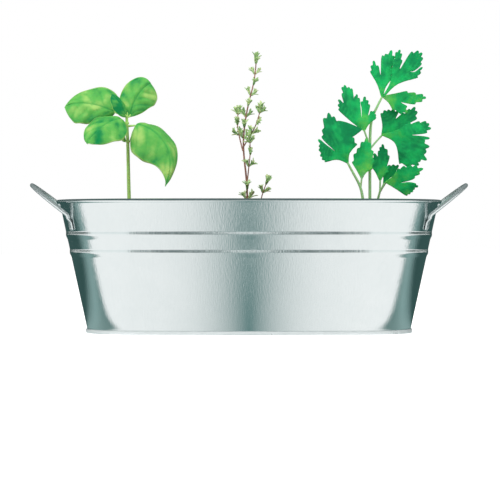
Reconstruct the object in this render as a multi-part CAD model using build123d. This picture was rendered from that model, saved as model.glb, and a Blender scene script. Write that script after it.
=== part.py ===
from build123d import *
import math
import os

# Indoor herb planter: a zinc-coated oval tub with two wire handles, potting soil and three herbs.
# Millimetres, +Z up. X runs along the tub, Y across it with the front at -Y.
# The origin is on the surface that the tub stands on, under its centre.

# Tub wall, measured to the middle of the sheet
BASE_LENGTH = 210.0
BASE_WIDTH = 88.0
SIDE_RADIUS = 477.0
HEIGHT = 86.0
FLARE = 18.0
SHEET = 0.5
KNEE_HEIGHT = 3.2
KNEE_RADIUS = 2.0
CURL_DIAMETER = 2.6
CURL_TURN = 285.0
BEAD_DROPS = (34.4, 23.0)
BEAD_HEIGHT = 5.0
BEAD_RISE = 0.6
BEAD_RADIUS = 3.0
LOCK_SEAM_WIDTH = 5.0
LOCK_SEAM_RISE = 0.4

# Base pan and the folded seam that grips the wall's lower edge
PAN_HEIGHT = 3.0
PAN_EDGE = 1.5
SEAM_HEIGHT = 2.4
SEAM_GAP = 0.15
SEAM_BEND = 0.27

# Wire handles
WIRE = 2.6
HANDLE_SPAN = 52.0
HANDLE_SLOPE = 38.0
HANDLE_REACH = 32.0
HANDLE_DROP = 9.7
HANDLE_BEND = 4.0
FOOT_CLEAR = 0.6
FOOT_WIDTH = 5.2
FOOT_THICKNESS = 1.3
FOOT_TAPER = 4.0
WELD_GAP = 0.1
WELD_DIMPLE = 1.3
WELD_DEPTH = 0.3

# Potting soil
SOIL_DROP = 13.0
SOIL_GAP = 0.3
SOIL_CROWN = 2.0
SOIL_SHOULDER = 14.0
CLOD_SPACING = 17.0
CLOD_RADIUS = 6.4
CLOD_RISE = 1.5
CLOD_SHIFT = 2.0
CLOD_ROW_TURN = 138.0
CLOD_COLUMN_TURN = 97.0
CLOD_SINK = 0.4

# What every herb shares
PLANTED = 22.0
JOINT_GAP = 0.1

# Basil, with heights measured from the soil's edge
BASIL_INSET = 27.0
BASIL_STEM_RADIUS = 1.35
BASIL_TIP_RADIUS = 0.9
BASIL_STALK_RADIUS = 0.8
BASIL_BLADE = 0.6
BASIL_STATIONS = (0.005, 0.03, 0.1, 0.25, 0.45, 0.65, 0.82, 0.93, 0.98, 0.997)
BASIL_SHOULDER = 0.58
BASIL_CROWN = 0.22
BASIL_STALK_REACH = 0.12
BASIL_BUD_LENGTH = 6.5
BASIL_BUD_WIDTH = 3.0
BASIL_BUD_SPREAD = 32.0
BASIL_BUD_BENDS = (1.0, 0.8, 0.4)
BASIL_BUD_TAPER = 0.85

# Thyme
THYME_X = -1.0
THYME_STEM_RADIUS = 0.9
THYME_TIP_RADIUS = 0.4
THYME_TWIG_RADIUS = 0.5
THYME_SPRIG_X = 7.0
THYME_LEAF_LENGTH = 5.6
THYME_LEAF_WIDTH = 2.0
THYME_LEAF_SHAPE = ((0, 0.3), (0.35, 1.0), (0.75, 0.8), (1.0, 0))
THYME_SMALL_LEAF = 0.75
THYME_TIP_LEAF = 0.7
THYME_WHORL_TURN = 10.0
THYME_BLADE = 0.4
THYME_LEAF_RISE = 52.0
THYME_SPACING = 7.0

# Parsley
PARSLEY_INSET = 26.4
PARSLEY_STEM_RADIUS = 1.1
PARSLEY_TIP_RADIUS = 0.7
PARSLEY_STALK_RADIUS = 0.6
PARSLEY_BLADE = 0.5
PARSLEY_BEND = 62.0
PARSLEY_FOOT = 1.6
PARSLEY_NOTCH = 0.42
LOBE_FILL = 0.9
LOBE_TEETH = (
    (-1.0, 0.64), (-0.62, 0.88), (-0.42, 0.81), (0.0, 1.0), (0.42, 0.81), (0.62, 0.88), (1.0, 0.64))

# Plan of the tub: two end arcs and two bowed side arcs, tangent to each other
HALF_LENGTH = BASE_LENGTH / 2
HALF_WIDTH = BASE_WIDTH / 2
END_RADIUS = SIDE_RADIUS * HALF_WIDTH - (HALF_LENGTH**2 + HALF_WIDTH**2) / 2
END_RADIUS /= SIDE_RADIUS - HALF_LENGTH
END_CENTRE = HALF_LENGTH - END_RADIUS
SIDE_CENTRE = SIDE_RADIUS - HALF_WIDTH
SIDE_ANGLE = math.degrees(math.asin(END_CENTRE / (SIDE_RADIUS - END_RADIUS)))
END_ANGLE = 90 - SIDE_ANGLE
SECTORS = (
    (Vector(END_CENTRE, 0), END_RADIUS, -END_ANGLE, 2 * END_ANGLE),
    (Vector(0, -SIDE_CENTRE), SIDE_RADIUS, 90 - SIDE_ANGLE, 2 * SIDE_ANGLE),
    (Vector(-END_CENTRE, 0), END_RADIUS, 180 - END_ANGLE, 2 * END_ANGLE),
    (Vector(0, SIDE_CENTRE), SIDE_RADIUS, 270 - SIDE_ANGLE, 2 * SIDE_ANGLE),
)
WALL_ANGLE = math.atan2(FLARE, HEIGHT - KNEE_HEIGHT)
SOIL_TOP = HEIGHT - SOIL_DROP
BASIL_X = BASIL_INSET - HALF_LENGTH
PARSLEY_X = HALF_LENGTH - PARSLEY_INSET


def flare_at(height):
    """How far the wall has moved outwards from the base outline at a height."""
    return FLARE * (height - KNEE_HEIGHT) / (HEIGHT - KNEE_HEIGHT)


def oval(outwards, height):
    """Flat face inside the plan outline, moved outwards from the base outline."""
    arcs = [CenterArc(centre, radius + outwards, start, sweep) for centre, radius, start, sweep in SECTORS]
    return Pos(0, 0, height) * make_face(arcs)


def turned(section, sector, start, sweep):
    """Solid of a section, drawn outwards and up, carried round part of one arc of the plan."""
    centre, radius = sector[0], sector[1]
    heading = math.radians(start)
    outwards = Vector(math.cos(heading), math.sin(heading), 0)
    plane = Plane(origin=centre, x_dir=outwards, z_dir=outwards.cross(Vector(0, 0, 1)))
    return revolve(plane * (Pos(radius, 0) * section), Axis(centre, (0, 0, 1)), sweep)


def ring(section):
    """Solid of a section carried round the whole plan."""
    pieces = [turned(section, sector, sector[2], sector[3]) for sector in SECTORS]
    return pieces[0] + pieces[1:]


# Tub wall
def wall_line():
    """Middle of the sheet from the lower edge, over the two beads, to where the rim starts to curl."""
    curl_radius = (CURL_DIAMETER - SHEET) / 2
    top = HEIGHT - SHEET / 2 - curl_radius * (1 - math.sin(WALL_ANGLE))
    points = [(0, SHEET + SEAM_GAP), (0, KNEE_HEIGHT)]
    radii = [KNEE_RADIUS]
    for drop in BEAD_DROPS:
        middle = HEIGHT - drop
        low = middle - BEAD_HEIGHT / 2
        high = middle + BEAD_HEIGHT / 2
        points += [(flare_at(low), low), (flare_at(middle) + BEAD_RISE, middle), (flare_at(high), high)]
        radii += [BEAD_RADIUS] * 3
    points.append((flare_at(top), top))
    return FilletPolyline(points, radius=radii)


def build_tub_wall():
    side = wall_line()
    curl = JernArc(side @ 1, side % 1, (CURL_DIAMETER - SHEET) / 2, -CURL_TURN)
    shell = ring(trace(side.edges() + curl.edges(), SHEET))
    back = SECTORS[1]
    sweep = math.degrees(LOCK_SEAM_WIDTH / (SIDE_RADIUS + FLARE))
    fold = Pos(LOCK_SEAM_RISE, 0) * trace(side.edges(), SHEET)
    between = Rectangle(4 * FLARE, HEIGHT - SEAM_HEIGHT - 2 * CURL_DIAMETER)
    fold &= Pos(0, (HEIGHT + SEAM_HEIGHT) / 2) * between
    return shell + turned(fold, back, 90 - sweep / 2, sweep)


# Base pan
def build_base_pan():
    leg = SHEET + SEAM_GAP
    inner = -leg - PAN_EDGE
    points = [(inner, PAN_HEIGHT), (-leg, PAN_HEIGHT), (-leg, SHEET / 2)]
    points += [(leg, SHEET / 2), (leg, SEAM_HEIGHT)]
    hem = FilletPolyline(points, radius=SEAM_BEND)
    floor = extrude(oval(inner, PAN_HEIGHT - SHEET / 2), SHEET)
    return ring(trace(hem.edges(), SHEET)) + floor


# Wire handles
def build_handle(side):
    """Loop of wire standing out from one end, with both ends pressed flat on the wall."""
    bend_height = HEIGHT - HANDLE_DROP
    half_span = HANDLE_SPAN / 2
    stand_off = SHEET / 2 + WELD_GAP
    wall_radius = END_RADIUS + flare_at(bend_height)
    turn = math.asin(half_span / wall_radius)
    across = Vector(math.cos(turn), math.sin(turn), 0)
    outwards = across * math.cos(WALL_ANGLE) - Vector(0, 0, math.sin(WALL_ANGLE))
    upwards = across * math.sin(WALL_ANGLE) + Vector(0, 0, math.cos(WALL_ANGLE))
    on_wall = Vector(END_CENTRE, 0, bend_height) + across * wall_radius
    corner = on_wall + outwards * (stand_off + WIRE / 2)
    slope = math.radians(HANDLE_SLOPE)
    along = Vector(math.cos(slope), 0, math.sin(slope))
    trim = HANDLE_BEND * math.tan(math.radians(upwards.get_angle(along)) / 2)
    shoulder = corner + along * (HANDLE_REACH - corner.Y)
    tip = Vector(shoulder.X, 0, shoulder.Z) + along * corner.Y
    low = corner - upwards * trim
    bend = TangentArc(low, corner + along * trim, tangent=upwards)
    half_path = [bend, Line(bend @ 1, shoulder)]
    loop = ThreePointArc(shoulder, tip, Vector(shoulder.X, -shoulder.Y, shoulder.Z))
    other_half = [mirror(edge, about=Plane.XZ) for edge in half_path]
    path = Wire([*[e for line in half_path for e in line.edges()], *loop.edges(),
                 *[e for line in other_half for e in line.edges()]])
    wire = sweep(Plane(origin=low, z_dir=upwards) * Circle(WIRE / 2), path=path)

    foot_length = (BEAD_DROPS[-1] - BEAD_HEIGHT / 2 - HANDLE_DROP - FOOT_CLEAR) / math.cos(WALL_ANGLE)
    flat_middle = outwards * ((WIRE - FOOT_THICKNESS) / 2)
    flat_top = low - upwards * FOOT_TAPER - flat_middle
    flat_end = low - upwards * (foot_length - trim) - flat_middle
    sections = [Plane(origin=low, x_dir=outwards, z_dir=upwards) * Circle(WIRE / 2)]
    flat = Ellipse(FOOT_THICKNESS / 2, FOOT_WIDTH / 2)
    for place in (flat_top, flat_end):
        sections.append(Plane(origin=place, x_dir=outwards, z_dir=upwards) * flat)
    foot = loft(sections[:2]) + loft(sections[1:])
    weld_ball = (WELD_DIMPLE**2 + WELD_DEPTH**2) / (2 * WELD_DEPTH)
    weld_place = (flat_top + flat_end) * 0.5 + outwards * (FOOT_THICKNESS / 2 + weld_ball - WELD_DEPTH)
    foot -= Pos(weld_place) * Sphere(weld_ball)
    handle = wire + foot + mirror(foot, about=Plane.XZ)
    return handle if side > 0 else mirror(handle, about=Plane.YZ)


# Herb stems and leaves
def spot(x, y, above_soil):
    return Vector(x, y, SOIL_TOP + above_soil)


def stem(points, start_radius, end_radius):
    """Round tapering stalk through the points, with each section square to the run."""
    sections = []
    for index, point in enumerate(points):
        run = (points[min(index + 1, len(points) - 1)] - points[max(index - 1, 0)]).normalized()
        level = (Vector(0, 1, 0) - run * run.Y).normalized()
        radius = start_radius + (end_radius - start_radius) * index / (len(points) - 1)
        sections.append(Plane(origin=point, x_dir=level, z_dir=run) * Circle(radius))
    return loft(sections, ruled=True)


def grown(points, start_radius, end_radius):
    """The room that a stem needs, used to cut what meets it."""
    return stem(points, start_radius + JOINT_GAP, end_radius + JOINT_GAP)


# Basil
BASIL_STEM = (
    [spot(BASIL_X, 0, -PLANTED), spot(BASIL_X + 0.4, 0, 0), spot(BASIL_X - 0.4, 0.5, 30),
     spot(BASIL_X - 0.8, 0, 51), spot(BASIL_X - 1.4, 0, 63), spot(BASIL_X - 1.6, 0.5, 70)],
    BASIL_STEM_RADIUS, BASIL_TIP_RADIUS)


def basil_share(s, taper):
    """Half width of a blade at a share of its length, as a share of its widest."""
    whole = BASIL_SHOULDER + taper
    widest = (BASIL_SHOULDER / whole) ** BASIL_SHOULDER * (taper / whole) ** taper
    return s**BASIL_SHOULDER * (1 - s) ** taper / widest


def basil_blade(rib, halves, facing, fold):
    """Thin arched blade along a curved rib and folded at it.

    Each half has its own width and its own taper, small for a round end and large for a pointed one.
    """
    start, first, second, tip = rib
    (left_width, left_taper), (right_width, right_taper) = halves
    crosswise = (tip - start).cross(facing).normalized()
    sections = []
    for s in BASIL_STATIONS:
        rest = 1 - s
        point = start * rest**3 + first * (3 * s * rest**2) + second * (3 * s**2 * rest) + tip * s**3
        run = (first - start) * rest**2 + (second - first) * (2 * s * rest) + (tip - second) * s**2
        run = run.normalized()
        level = (crosswise - run * crosswise.dot(run)).normalized()
        up = level.cross(run)
        left, right = left_width * basil_share(s, left_taper), right_width * basil_share(s, right_taper)
        crown = BASIL_CROWN * (left + right) / 2
        middle = point + up * crown
        line = [point + level * (side * half) + up * (crown * (1 - side**2) - fold * half * abs(side))
                for side, half in ((-1, left), (-0.5, left), (0, left), (0.5, right), (1, right))]
        under = [corner - up * BASIL_BLADE for corner in line]
        sections.append(make_face([
            ThreePointArc(line[0], line[1], middle), ThreePointArc(middle, line[3], line[4]),
            Line(line[4], under[4]), ThreePointArc(under[4], under[3], under[2]),
            ThreePointArc(under[2], under[1], under[0]), Line(under[0], line[0])]))
    return loft(sections)


def basil_leaf(node_height, rib, halves, facing, fold):
    """One blade with its stalk, cut back where it meets the stem, placed from the stem's foot."""
    node = spot(BASIL_X - 1.4, 0.2, node_height)
    rib = [spot(BASIL_X + x, y, height) for x, y, height in rib]
    blade = basil_blade(rib, halves, Vector(*facing), fold)
    inset = rib[0] + (rib[1] - rib[0]) * BASIL_STALK_REACH
    stalk = stem([node, node + (rib[0] - node) * 0.6, inset], BASIL_STALK_RADIUS, BASIL_BLADE / 2)
    return blade + stalk - grown(*BASIL_STEM)


def basil_buds(node):
    """Pair of small leaves in the axils under the lower leaf pair."""
    room = grown(*BASIL_STEM)
    buds = []
    for side in (-1, 1):
        rib = [node + Vector(side * BASIL_STEM_RADIUS, 0, 0)]
        for bend in BASIL_BUD_BENDS:
            lean = math.radians(BASIL_BUD_SPREAD * bend * side)
            rib.append(rib[-1] + Vector(math.sin(lean), -0.15, math.cos(lean)) * (BASIL_BUD_LENGTH / 3))
        half = (BASIL_BUD_WIDTH / 2, BASIL_BUD_TAPER)
        buds.append(basil_blade(rib, (half, half), Vector(-side * 0.7, -0.7, 0.2), 0) - room)
    return Compound(children=[solid for bud in buds for solid in bud.solids()])


def build_basil():
    return {
        "basil_stem": stem(*BASIL_STEM),
        "basil_left_lower_leaf": basil_leaf(
            61, ((-3.5, -3.5, 64), (-9, -8, 64), (-18, -14, 58), (-26, -19, 49.5)),
            ((13, 0.55), (14, 0.55)), (-0.3, -0.8, 0.5), 0.2),
        "basil_right_lower_leaf": basil_leaf(
            61, ((4.6, -4, 61.3), (17, -7, 60.5), (32, -13, 46), (24.8, -20, 21.5)),
            ((17.5, 1.15), (15, 1.5)), (0.5, -0.8, 0.35), 0.75),
        "basil_left_upper_leaf": basil_leaf(
            67, ((-9.4, 4, 70.3), (-19, 8, 73.5), (-29, 10, 80), (-40, 9, 79.5)),
            ((16.5, 0.4), (10, 0.7)), (-0.1, -0.9, 0.45), 0.1),
        "basil_right_upper_leaf": basil_leaf(
            67, ((0.5, 3.5, 67.5), (1.5, 7, 76), (6, 10, 84.5), (13.5, 9, 89.5)),
            ((9.5, 0.5), (14.5, 0.4)), (0.1, -0.9, 0.4), 0.1),
        "basil_young_leaf": basil_leaf(
            69, ((-1.5, -2.5, 67), (-4, -3.5, 73), (-7.5, -4.5, 78), (-11, -4, 81.5)),
            ((4.2, 0.8), (4.2, 0.8)), (0.5, -0.8, 0.3), 0.5),
        "basil_axil_leaves": basil_buds(spot(BASIL_X - 0.8, 0, 51)),
    }


# Thyme
THYME_STEM = (
    [spot(THYME_X, 0, -PLANTED), spot(THYME_X, 0, 0), spot(THYME_X - 0.2, 0, 24.5), spot(THYME_X - 3, 0, 46),
     spot(THYME_X - 2, 1, 62), spot(THYME_X + 0.9, 0, 77), spot(THYME_X + 4.1, 0, 88.5),
     spot(THYME_X + 5.8, 0, 104), spot(THYME_X + 5.5, 0, 109)],
    THYME_STEM_RADIUS, THYME_TIP_RADIUS)
THYME_SPRIG = (
    [spot(THYME_SPRIG_X, -3, -PLANTED), spot(THYME_SPRIG_X, -3, 0), spot(THYME_SPRIG_X + 0.5, -3.2, 13),
     spot(THYME_SPRIG_X + 2.8, -4, 20), spot(THYME_SPRIG_X + 5.6, -5, 27.5)],
    THYME_TWIG_RADIUS, THYME_TIP_RADIUS)
THYME_BRANCHES = {
    "left": [spot(THYME_X - 3, 0, 45), spot(THYME_X - 6.2, 4, 57), spot(THYME_X - 6.8, 7, 67),
             spot(THYME_X - 5.5, 8, 74)],
    "right": [spot(THYME_X - 2.9, 0, 47), spot(THYME_X + 2.5, -5, 56), spot(THYME_X + 6.5, -8, 63),
              spot(THYME_X + 9, -9, 74)],
    "low": [spot(THYME_X - 0.2, 0, 24), spot(THYME_X + 0.7, -3.5, 33), spot(THYME_X + 2.2, -7, 46),
            spot(THYME_X + 1.2, -9, 55)],
}


def thyme_leaf(place, run, outwards, twig_radius, length):
    """Small flat pointed leaf, set off from its twig."""
    rise = math.radians(THYME_LEAF_RISE)
    along = outwards * math.cos(rise) + run * math.sin(rise)
    facing = run * math.cos(rise) - outwards * math.sin(rise)
    start = place + outwards * (twig_radius + JOINT_GAP + THYME_BLADE * math.sin(rise))
    half = THYME_LEAF_WIDTH / 2 * length / THYME_LEAF_LENGTH
    right = [(length * s, -half * share) for s, share in THYME_LEAF_SHAPE]
    left = [(x, -y) for x, y in reversed(right[:-1])]
    face = make_face(Polyline(*right, *left, close=True))
    return extrude(Plane(origin=start, x_dir=along, z_dir=facing) * face, THYME_BLADE)


def thyme_leaves(points, bare, twig_radius):
    """Whorls of opposite leaves at even steps along a twig, past its bare foot."""
    path = Polyline(*points)
    whorls = max(2, round((path.length - bare) / THYME_SPACING))
    leaves = []
    for index in range(whorls):
        share = (bare + (path.length - bare) * (index + 0.6) / whorls) / path.length
        place, run = path @ share, path % share
        level = (Vector(0, 1, 0) - run * run.Y).normalized()
        sideways = run.cross(level)
        for corner in range(4):
            turn = math.radians(90 * corner + 45 * (index % 2) + THYME_WHORL_TURN)
            outwards = level * math.sin(turn) + sideways * math.cos(turn)
            length = THYME_LEAF_LENGTH * (1 + (THYME_TIP_LEAF - 1) * share)
            if corner % 2 != index % 2:
                length *= THYME_SMALL_LEAF
            leaves.append(thyme_leaf(place, run, outwards, twig_radius, length))
    return Compound(children=[solid for leaf in leaves for solid in leaf.solids()])


def build_thyme():
    points = THYME_STEM[0]
    room = grown(*THYME_STEM)
    pieces = {
        "thyme_stem": stem(*THYME_STEM),
        "thyme_stem_leaves": thyme_leaves(points[3:], 5, THYME_STEM_RADIUS),
        "thyme_foot_leaves": thyme_leaves(points[1:3], 11, THYME_STEM_RADIUS),
        "thyme_sprig": stem(*THYME_SPRIG),
        "thyme_sprig_leaves": thyme_leaves(THYME_SPRIG[0][2:], 3, THYME_TWIG_RADIUS),
    }
    for name, twig in THYME_BRANCHES.items():
        pieces[f"thyme_{name}_branch"] = stem(twig, THYME_TWIG_RADIUS, THYME_TIP_RADIUS) - room
        pieces[f"thyme_{name}_leaves"] = thyme_leaves(twig, 9, THYME_TWIG_RADIUS)
    return pieces


# Parsley
PARSLEY_RADII = (PARSLEY_STEM_RADIUS, PARSLEY_TIP_RADIUS)
PARSLEY_STEM = (
    [spot(PARSLEY_X, 0, -PLANTED), spot(PARSLEY_X, 0, 0), spot(PARSLEY_X, 0, 48),
     spot(PARSLEY_X + 0.4, 0, 63), spot(PARSLEY_X + 3.2, 0, 71), spot(PARSLEY_X + 7.9, 0, 80)],
    *PARSLEY_RADII)
PARSLEY_LEFT_STEM = (
    [spot(PARSLEY_X - 4.2, -5, -PLANTED), spot(PARSLEY_X - 4.2, -5, 0), spot(PARSLEY_X - 4.6, -5, 13),
     spot(PARSLEY_X - 6.4, -5, 22), spot(PARSLEY_X - 11, -6, 30), spot(PARSLEY_X - 14.8, -7, 37)],
    *PARSLEY_RADII)
PARSLEY_RIGHT_STEM = (
    [spot(PARSLEY_X + 4.2, 5, -PLANTED), spot(PARSLEY_X + 4.2, 5, 0), spot(PARSLEY_X + 4.8, 4, 12),
     spot(PARSLEY_X + 6.8, 2, 19)],
    *PARSLEY_RADII)


def leaflet_outline(reach, lobes):
    """Points of a leaflet: a narrow foot, then toothed lobes fanned about it, with notches between them."""
    points = [(-PARSLEY_FOOT / 2, 0)]
    for index, (heading, share) in enumerate(lobes):
        before = heading - lobes[index - 1][0] if index else lobes[1][0] - heading
        after = lobes[index + 1][0] - heading if index + 1 < len(lobes) else before
        half = LOBE_FILL * min(before, after) / 2
        for turn, tooth in LOBE_TEETH:
            angle = math.radians(heading + turn * half)
            radius = reach * share * tooth
            points.append((radius * math.sin(angle), radius * math.cos(angle)))
        if index + 1 < len(lobes):
            angle = math.radians(heading + after / 2)
            radius = reach * PARSLEY_NOTCH * min(share, lobes[index + 1][1])
            points.append((radius * math.sin(angle), radius * math.cos(angle)))
    points.append((PARSLEY_FOOT / 2, 0))
    return points


def parsley_blade(base, heading, lean, roll, reach, lobes):
    """Thin lobed blade curled back along its length.

    heading turns it in the front view, clockwise from straight up, lean brings its tip forwards, and
    roll turns it about its own length.
    """
    outline = make_face(Polyline(*leaflet_outline(reach, lobes), close=True))
    block = extrude(outline, PARSLEY_BEND * 0.8, both=True)
    tube = Cylinder(PARSLEY_BEND + PARSLEY_BLADE / 2, 4 * reach, rotation=(0, 90, 0))
    tube -= Cylinder(PARSLEY_BEND - PARSLEY_BLADE / 2, 4 * reach, rotation=(0, 90, 0))
    blade = block & (Pos(0, 0, -PARSLEY_BEND) * tube)
    turn = math.radians(heading)
    level = Axis((0, 0, 0), (math.cos(turn), 0, -math.sin(turn)))
    along = Vector(math.sin(turn), 0, math.cos(turn)).rotate(level, lean)
    frontwards = Vector(0, -1, 0)
    facing = (frontwards - along * frontwards.dot(along)).normalized().rotate(Axis((0, 0, 0), along), roll)
    return Plane(origin=base, x_dir=along.cross(facing), z_dir=facing) * blade


def parsley_leaflet(carrier, layer, heading, lean, roll, reach, lobes):
    """Blade at the end of the stalk that carries it, cut back where it meets it.

    Leaflets that share an end lie in layers, counted towards the back.
    """
    end = carrier[0][-1]
    turn = math.radians(heading)
    base = end + Vector(math.sin(turn), 0, math.cos(turn)) * (carrier[2] + JOINT_GAP)
    base += Vector(0, layer * (PARSLEY_BLADE + JOINT_GAP), 0)
    return parsley_blade(base, heading, lean, roll, reach, lobes) - grown(*carrier)


def stalk(*points):
    """Short side stalk of even thickness, as its points and end radii."""
    places = [spot(PARSLEY_X + x, y, height) for x, y, height in points]
    return places, PARSLEY_STALK_RADIUS, PARSLEY_STALK_RADIUS


def build_parsley():
    left_stalk = stalk((0, 0, 47), (-1.6, -3, 52), (-4, -5, 58))
    right_stalk = stalk((0, 0, 46), (3.9, 3, 51), (8.4, 4, 55.5))
    middle_stalk = stalk((-6.2, -5, 21), (-6, -5.2, 24), (-5.6, -5.5, 27))
    back_stalk = stalk((6.6, 2.2, 18), (6.8, 2.6, 22), (6.9, 3, 26))
    side_stalk = stalk((6.6, 2.2, 18), (8, 3.6, 21), (9.6, 5, 24))
    front_stalk = stalk((6.6, 2.2, 18), (8.4, 0.6, 21.5), (10.4, -1, 24.5))
    room = grown(*PARSLEY_STEM)
    pieces = {
        "parsley_stem": stem(*PARSLEY_STEM),
        "parsley_left_stem": stem(*PARSLEY_LEFT_STEM) + stem(*middle_stalk),
        "parsley_right_stem": stem(*PARSLEY_RIGHT_STEM) + [
            stem(*fork) for fork in (back_stalk, side_stalk, front_stalk)],
        "parsley_left_stalk": stem(*left_stalk) - room,
        "parsley_right_stalk": stem(*right_stalk) - room,
    }
    fan = ((-26, 0.8), (0, 1.0), (24, 0.86))
    wide = ((-48, 0.72), (-18, 0.96), (12, 1.0), (42, 0.74))
    leaflets = {
        "top_left": (PARSLEY_STEM, 0, 2, 6, -8, 27, fan),
        "top_right": (PARSLEY_STEM, -1, 42, 14, 6, 36, fan),
        "top_side": (PARSLEY_STEM, 1, 98, -10, 8, 28, fan),
        "upper_left": (left_stalk, 0, -20, 12, -10, 30, wide),
        "left": (PARSLEY_LEFT_STEM, 0, -26, 10, -14, 33, wide),
        "right_upper": (right_stalk, 1, 32, -12, 6, 31, wide),
        "right_lower": (right_stalk, -1, 112, 16, 6, 28, wide),
        "lower_middle": (middle_stalk, 0, 4, 12, -8, 25, fan),
        "lower_back": (back_stalk, 0, 4, -6, 8, 24, fan),
        "lower_side": (side_stalk, 0, 44, -14, 10, 19, fan),
        "lower_right": (front_stalk, 0, 84, 14, 12, 24, wide),
    }
    for name, shape in leaflets.items():
        pieces[f"parsley_{name}_leaflet"] = parsley_leaflet(*shape)
    return pieces


# Potting soil
def clods():
    """Low round clods in staggered rows on the soil's crown, each shifted a little by its row and column."""
    ball = (CLOD_RADIUS**2 + CLOD_RISE**2) / (2 * CLOD_RISE)
    foot = math.degrees(math.asin((ball - CLOD_RISE - CLOD_SINK) / ball))
    cap = Sphere(ball, arc_size1=foot, align=(Align.CENTER, Align.CENTER, Align.MAX))
    room = CLOD_RADIUS + CLOD_SHIFT
    top = oval(flare_at(SOIL_TOP) - SHEET / 2 - SOIL_GAP - SOIL_SHOULDER - room, 0).face()
    row_step = CLOD_SPACING * math.sin(math.radians(60))
    rows = int((HALF_WIDTH + FLARE) / row_step)
    columns = int((HALF_LENGTH + FLARE) / CLOD_SPACING)
    places = []
    for row in range(-rows, rows + 1):
        for column in range(-columns, columns + 1):
            turn = math.radians(CLOD_ROW_TURN * row + CLOD_COLUMN_TURN * column)
            place = Vector((column + row % 2 / 2) * CLOD_SPACING, row * row_step)
            if top.is_inside(place):
                places.append(place + Vector(math.cos(turn), math.sin(turn)) * CLOD_SHIFT)
    height = SOIL_TOP + SOIL_CROWN + CLOD_RISE
    return [Pos(place.X, place.Y, height) * cap for place in places]


def build_soil():
    floor = PAN_HEIGHT + SHEET / 2
    edge = SHEET / 2 + SOIL_GAP
    level = oval(flare_at(SOIL_TOP) - edge, SOIL_TOP)
    crown = oval(flare_at(SOIL_TOP) - edge - SOIL_SHOULDER, SOIL_TOP + SOIL_CROWN)
    soil = loft([oval(-2 * edge, floor), level], ruled=True) + loft([level, crown], ruled=True)
    soil += clods()
    parsley_stems = (PARSLEY_STEM, PARSLEY_LEFT_STEM, PARSLEY_RIGHT_STEM)
    for planted in (BASIL_STEM, THYME_STEM, THYME_SPRIG, *parsley_stems):
        soil -= grown(*planted)
    return soil


pieces = {
    "tub_wall": build_tub_wall(),
    "base_pan": build_base_pan(),
    "left_handle": build_handle(-1),
    "right_handle": build_handle(1),
    "potting_soil": build_soil(),
} | build_basil() | build_thyme() | build_parsley()

os.makedirs("parts", exist_ok=True)
for name, piece in pieces.items():
    export_step(piece, f"parts/{name}.step")
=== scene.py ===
# Indoor herb planter: an oval tub of zinc-coated sheet steel with two wire handles, planted with herbs.
# Metres, +Z up. X runs along the tub, and the front is at -Y.
import random
from math import asin, atan2, copysign, cos, degrees, exp, hypot, pi, radians, sin, sqrt, tan, tau

import bmesh
import bpy
from mathutils import Matrix, Vector, noise


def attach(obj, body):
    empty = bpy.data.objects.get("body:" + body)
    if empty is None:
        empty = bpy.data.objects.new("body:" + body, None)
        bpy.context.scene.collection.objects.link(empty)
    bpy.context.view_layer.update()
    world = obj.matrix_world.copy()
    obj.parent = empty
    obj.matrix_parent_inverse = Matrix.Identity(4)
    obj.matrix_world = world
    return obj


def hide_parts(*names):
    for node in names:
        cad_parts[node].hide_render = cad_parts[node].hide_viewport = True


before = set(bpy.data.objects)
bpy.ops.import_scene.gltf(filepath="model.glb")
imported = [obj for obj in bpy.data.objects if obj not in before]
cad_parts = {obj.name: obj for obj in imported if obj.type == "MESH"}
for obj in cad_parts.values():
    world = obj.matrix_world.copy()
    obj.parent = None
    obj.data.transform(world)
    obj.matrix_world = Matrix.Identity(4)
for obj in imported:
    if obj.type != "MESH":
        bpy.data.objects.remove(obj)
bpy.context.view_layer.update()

# Base pan: a flat disc of the same zinc-coated sheet as the wall, set a little above the ground.
# Its edge is folded down, round under the wall's lower edge and up again, and the tub stands on
# that fold, which shows as a thin pale line below the wall, dulled by the seaming roll.
mm = 0.001
SHEET = 0.5 * mm
END_RADIUS, END_CENTRE = 39 * mm, 66 * mm
SIDE_RADIUS, SIDE_CENTRE = 477 * mm, 433 * mm
SIDE_ANGLE = asin(END_CENTRE / (SIDE_RADIUS - END_RADIUS))
END_ANGLE = pi / 2 - SIDE_ANGLE
END_STEPS, SIDE_STEPS = 112, 28
PLAN_ARCS = (
    ((END_CENTRE, 0, 0), 2 * END_ANGLE, END_STEPS),
    ((0, -SIDE_CENTRE, 0), 2 * SIDE_ANGLE, SIDE_STEPS),
    ((-END_CENTRE, 0, 0), 2 * END_ANGLE, END_STEPS),
    ((0, SIDE_CENTRE, 0), 2 * SIDE_ANGLE, SIDE_STEPS),
)
PROFILE_STEP = 3 * mm
SEAM_GAP = 0.15 * mm
SEAM_BEND = 0.27 * mm
SEAM_HEIGHT = 2.4 * mm
PAN_HEIGHT = 3.0 * mm
PAN_EDGE = 1.5 * mm
BEND_SEGMENTS = 7
MERGE = 0.001 * mm
ROLLED_GRAIN, ROLLED_DEPTH = (1, 1, 0.12), 0.07 * mm
ZINC_LINES, ZINC_CRYSTALS, ZINC_BLOOM = 1300.0, 95.0, 38.0
ZINC_DULL, ZINC_BRIGHT = (0.73, 0.79, 0.79, 1), (0.9, 0.94, 0.94, 1)


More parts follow.
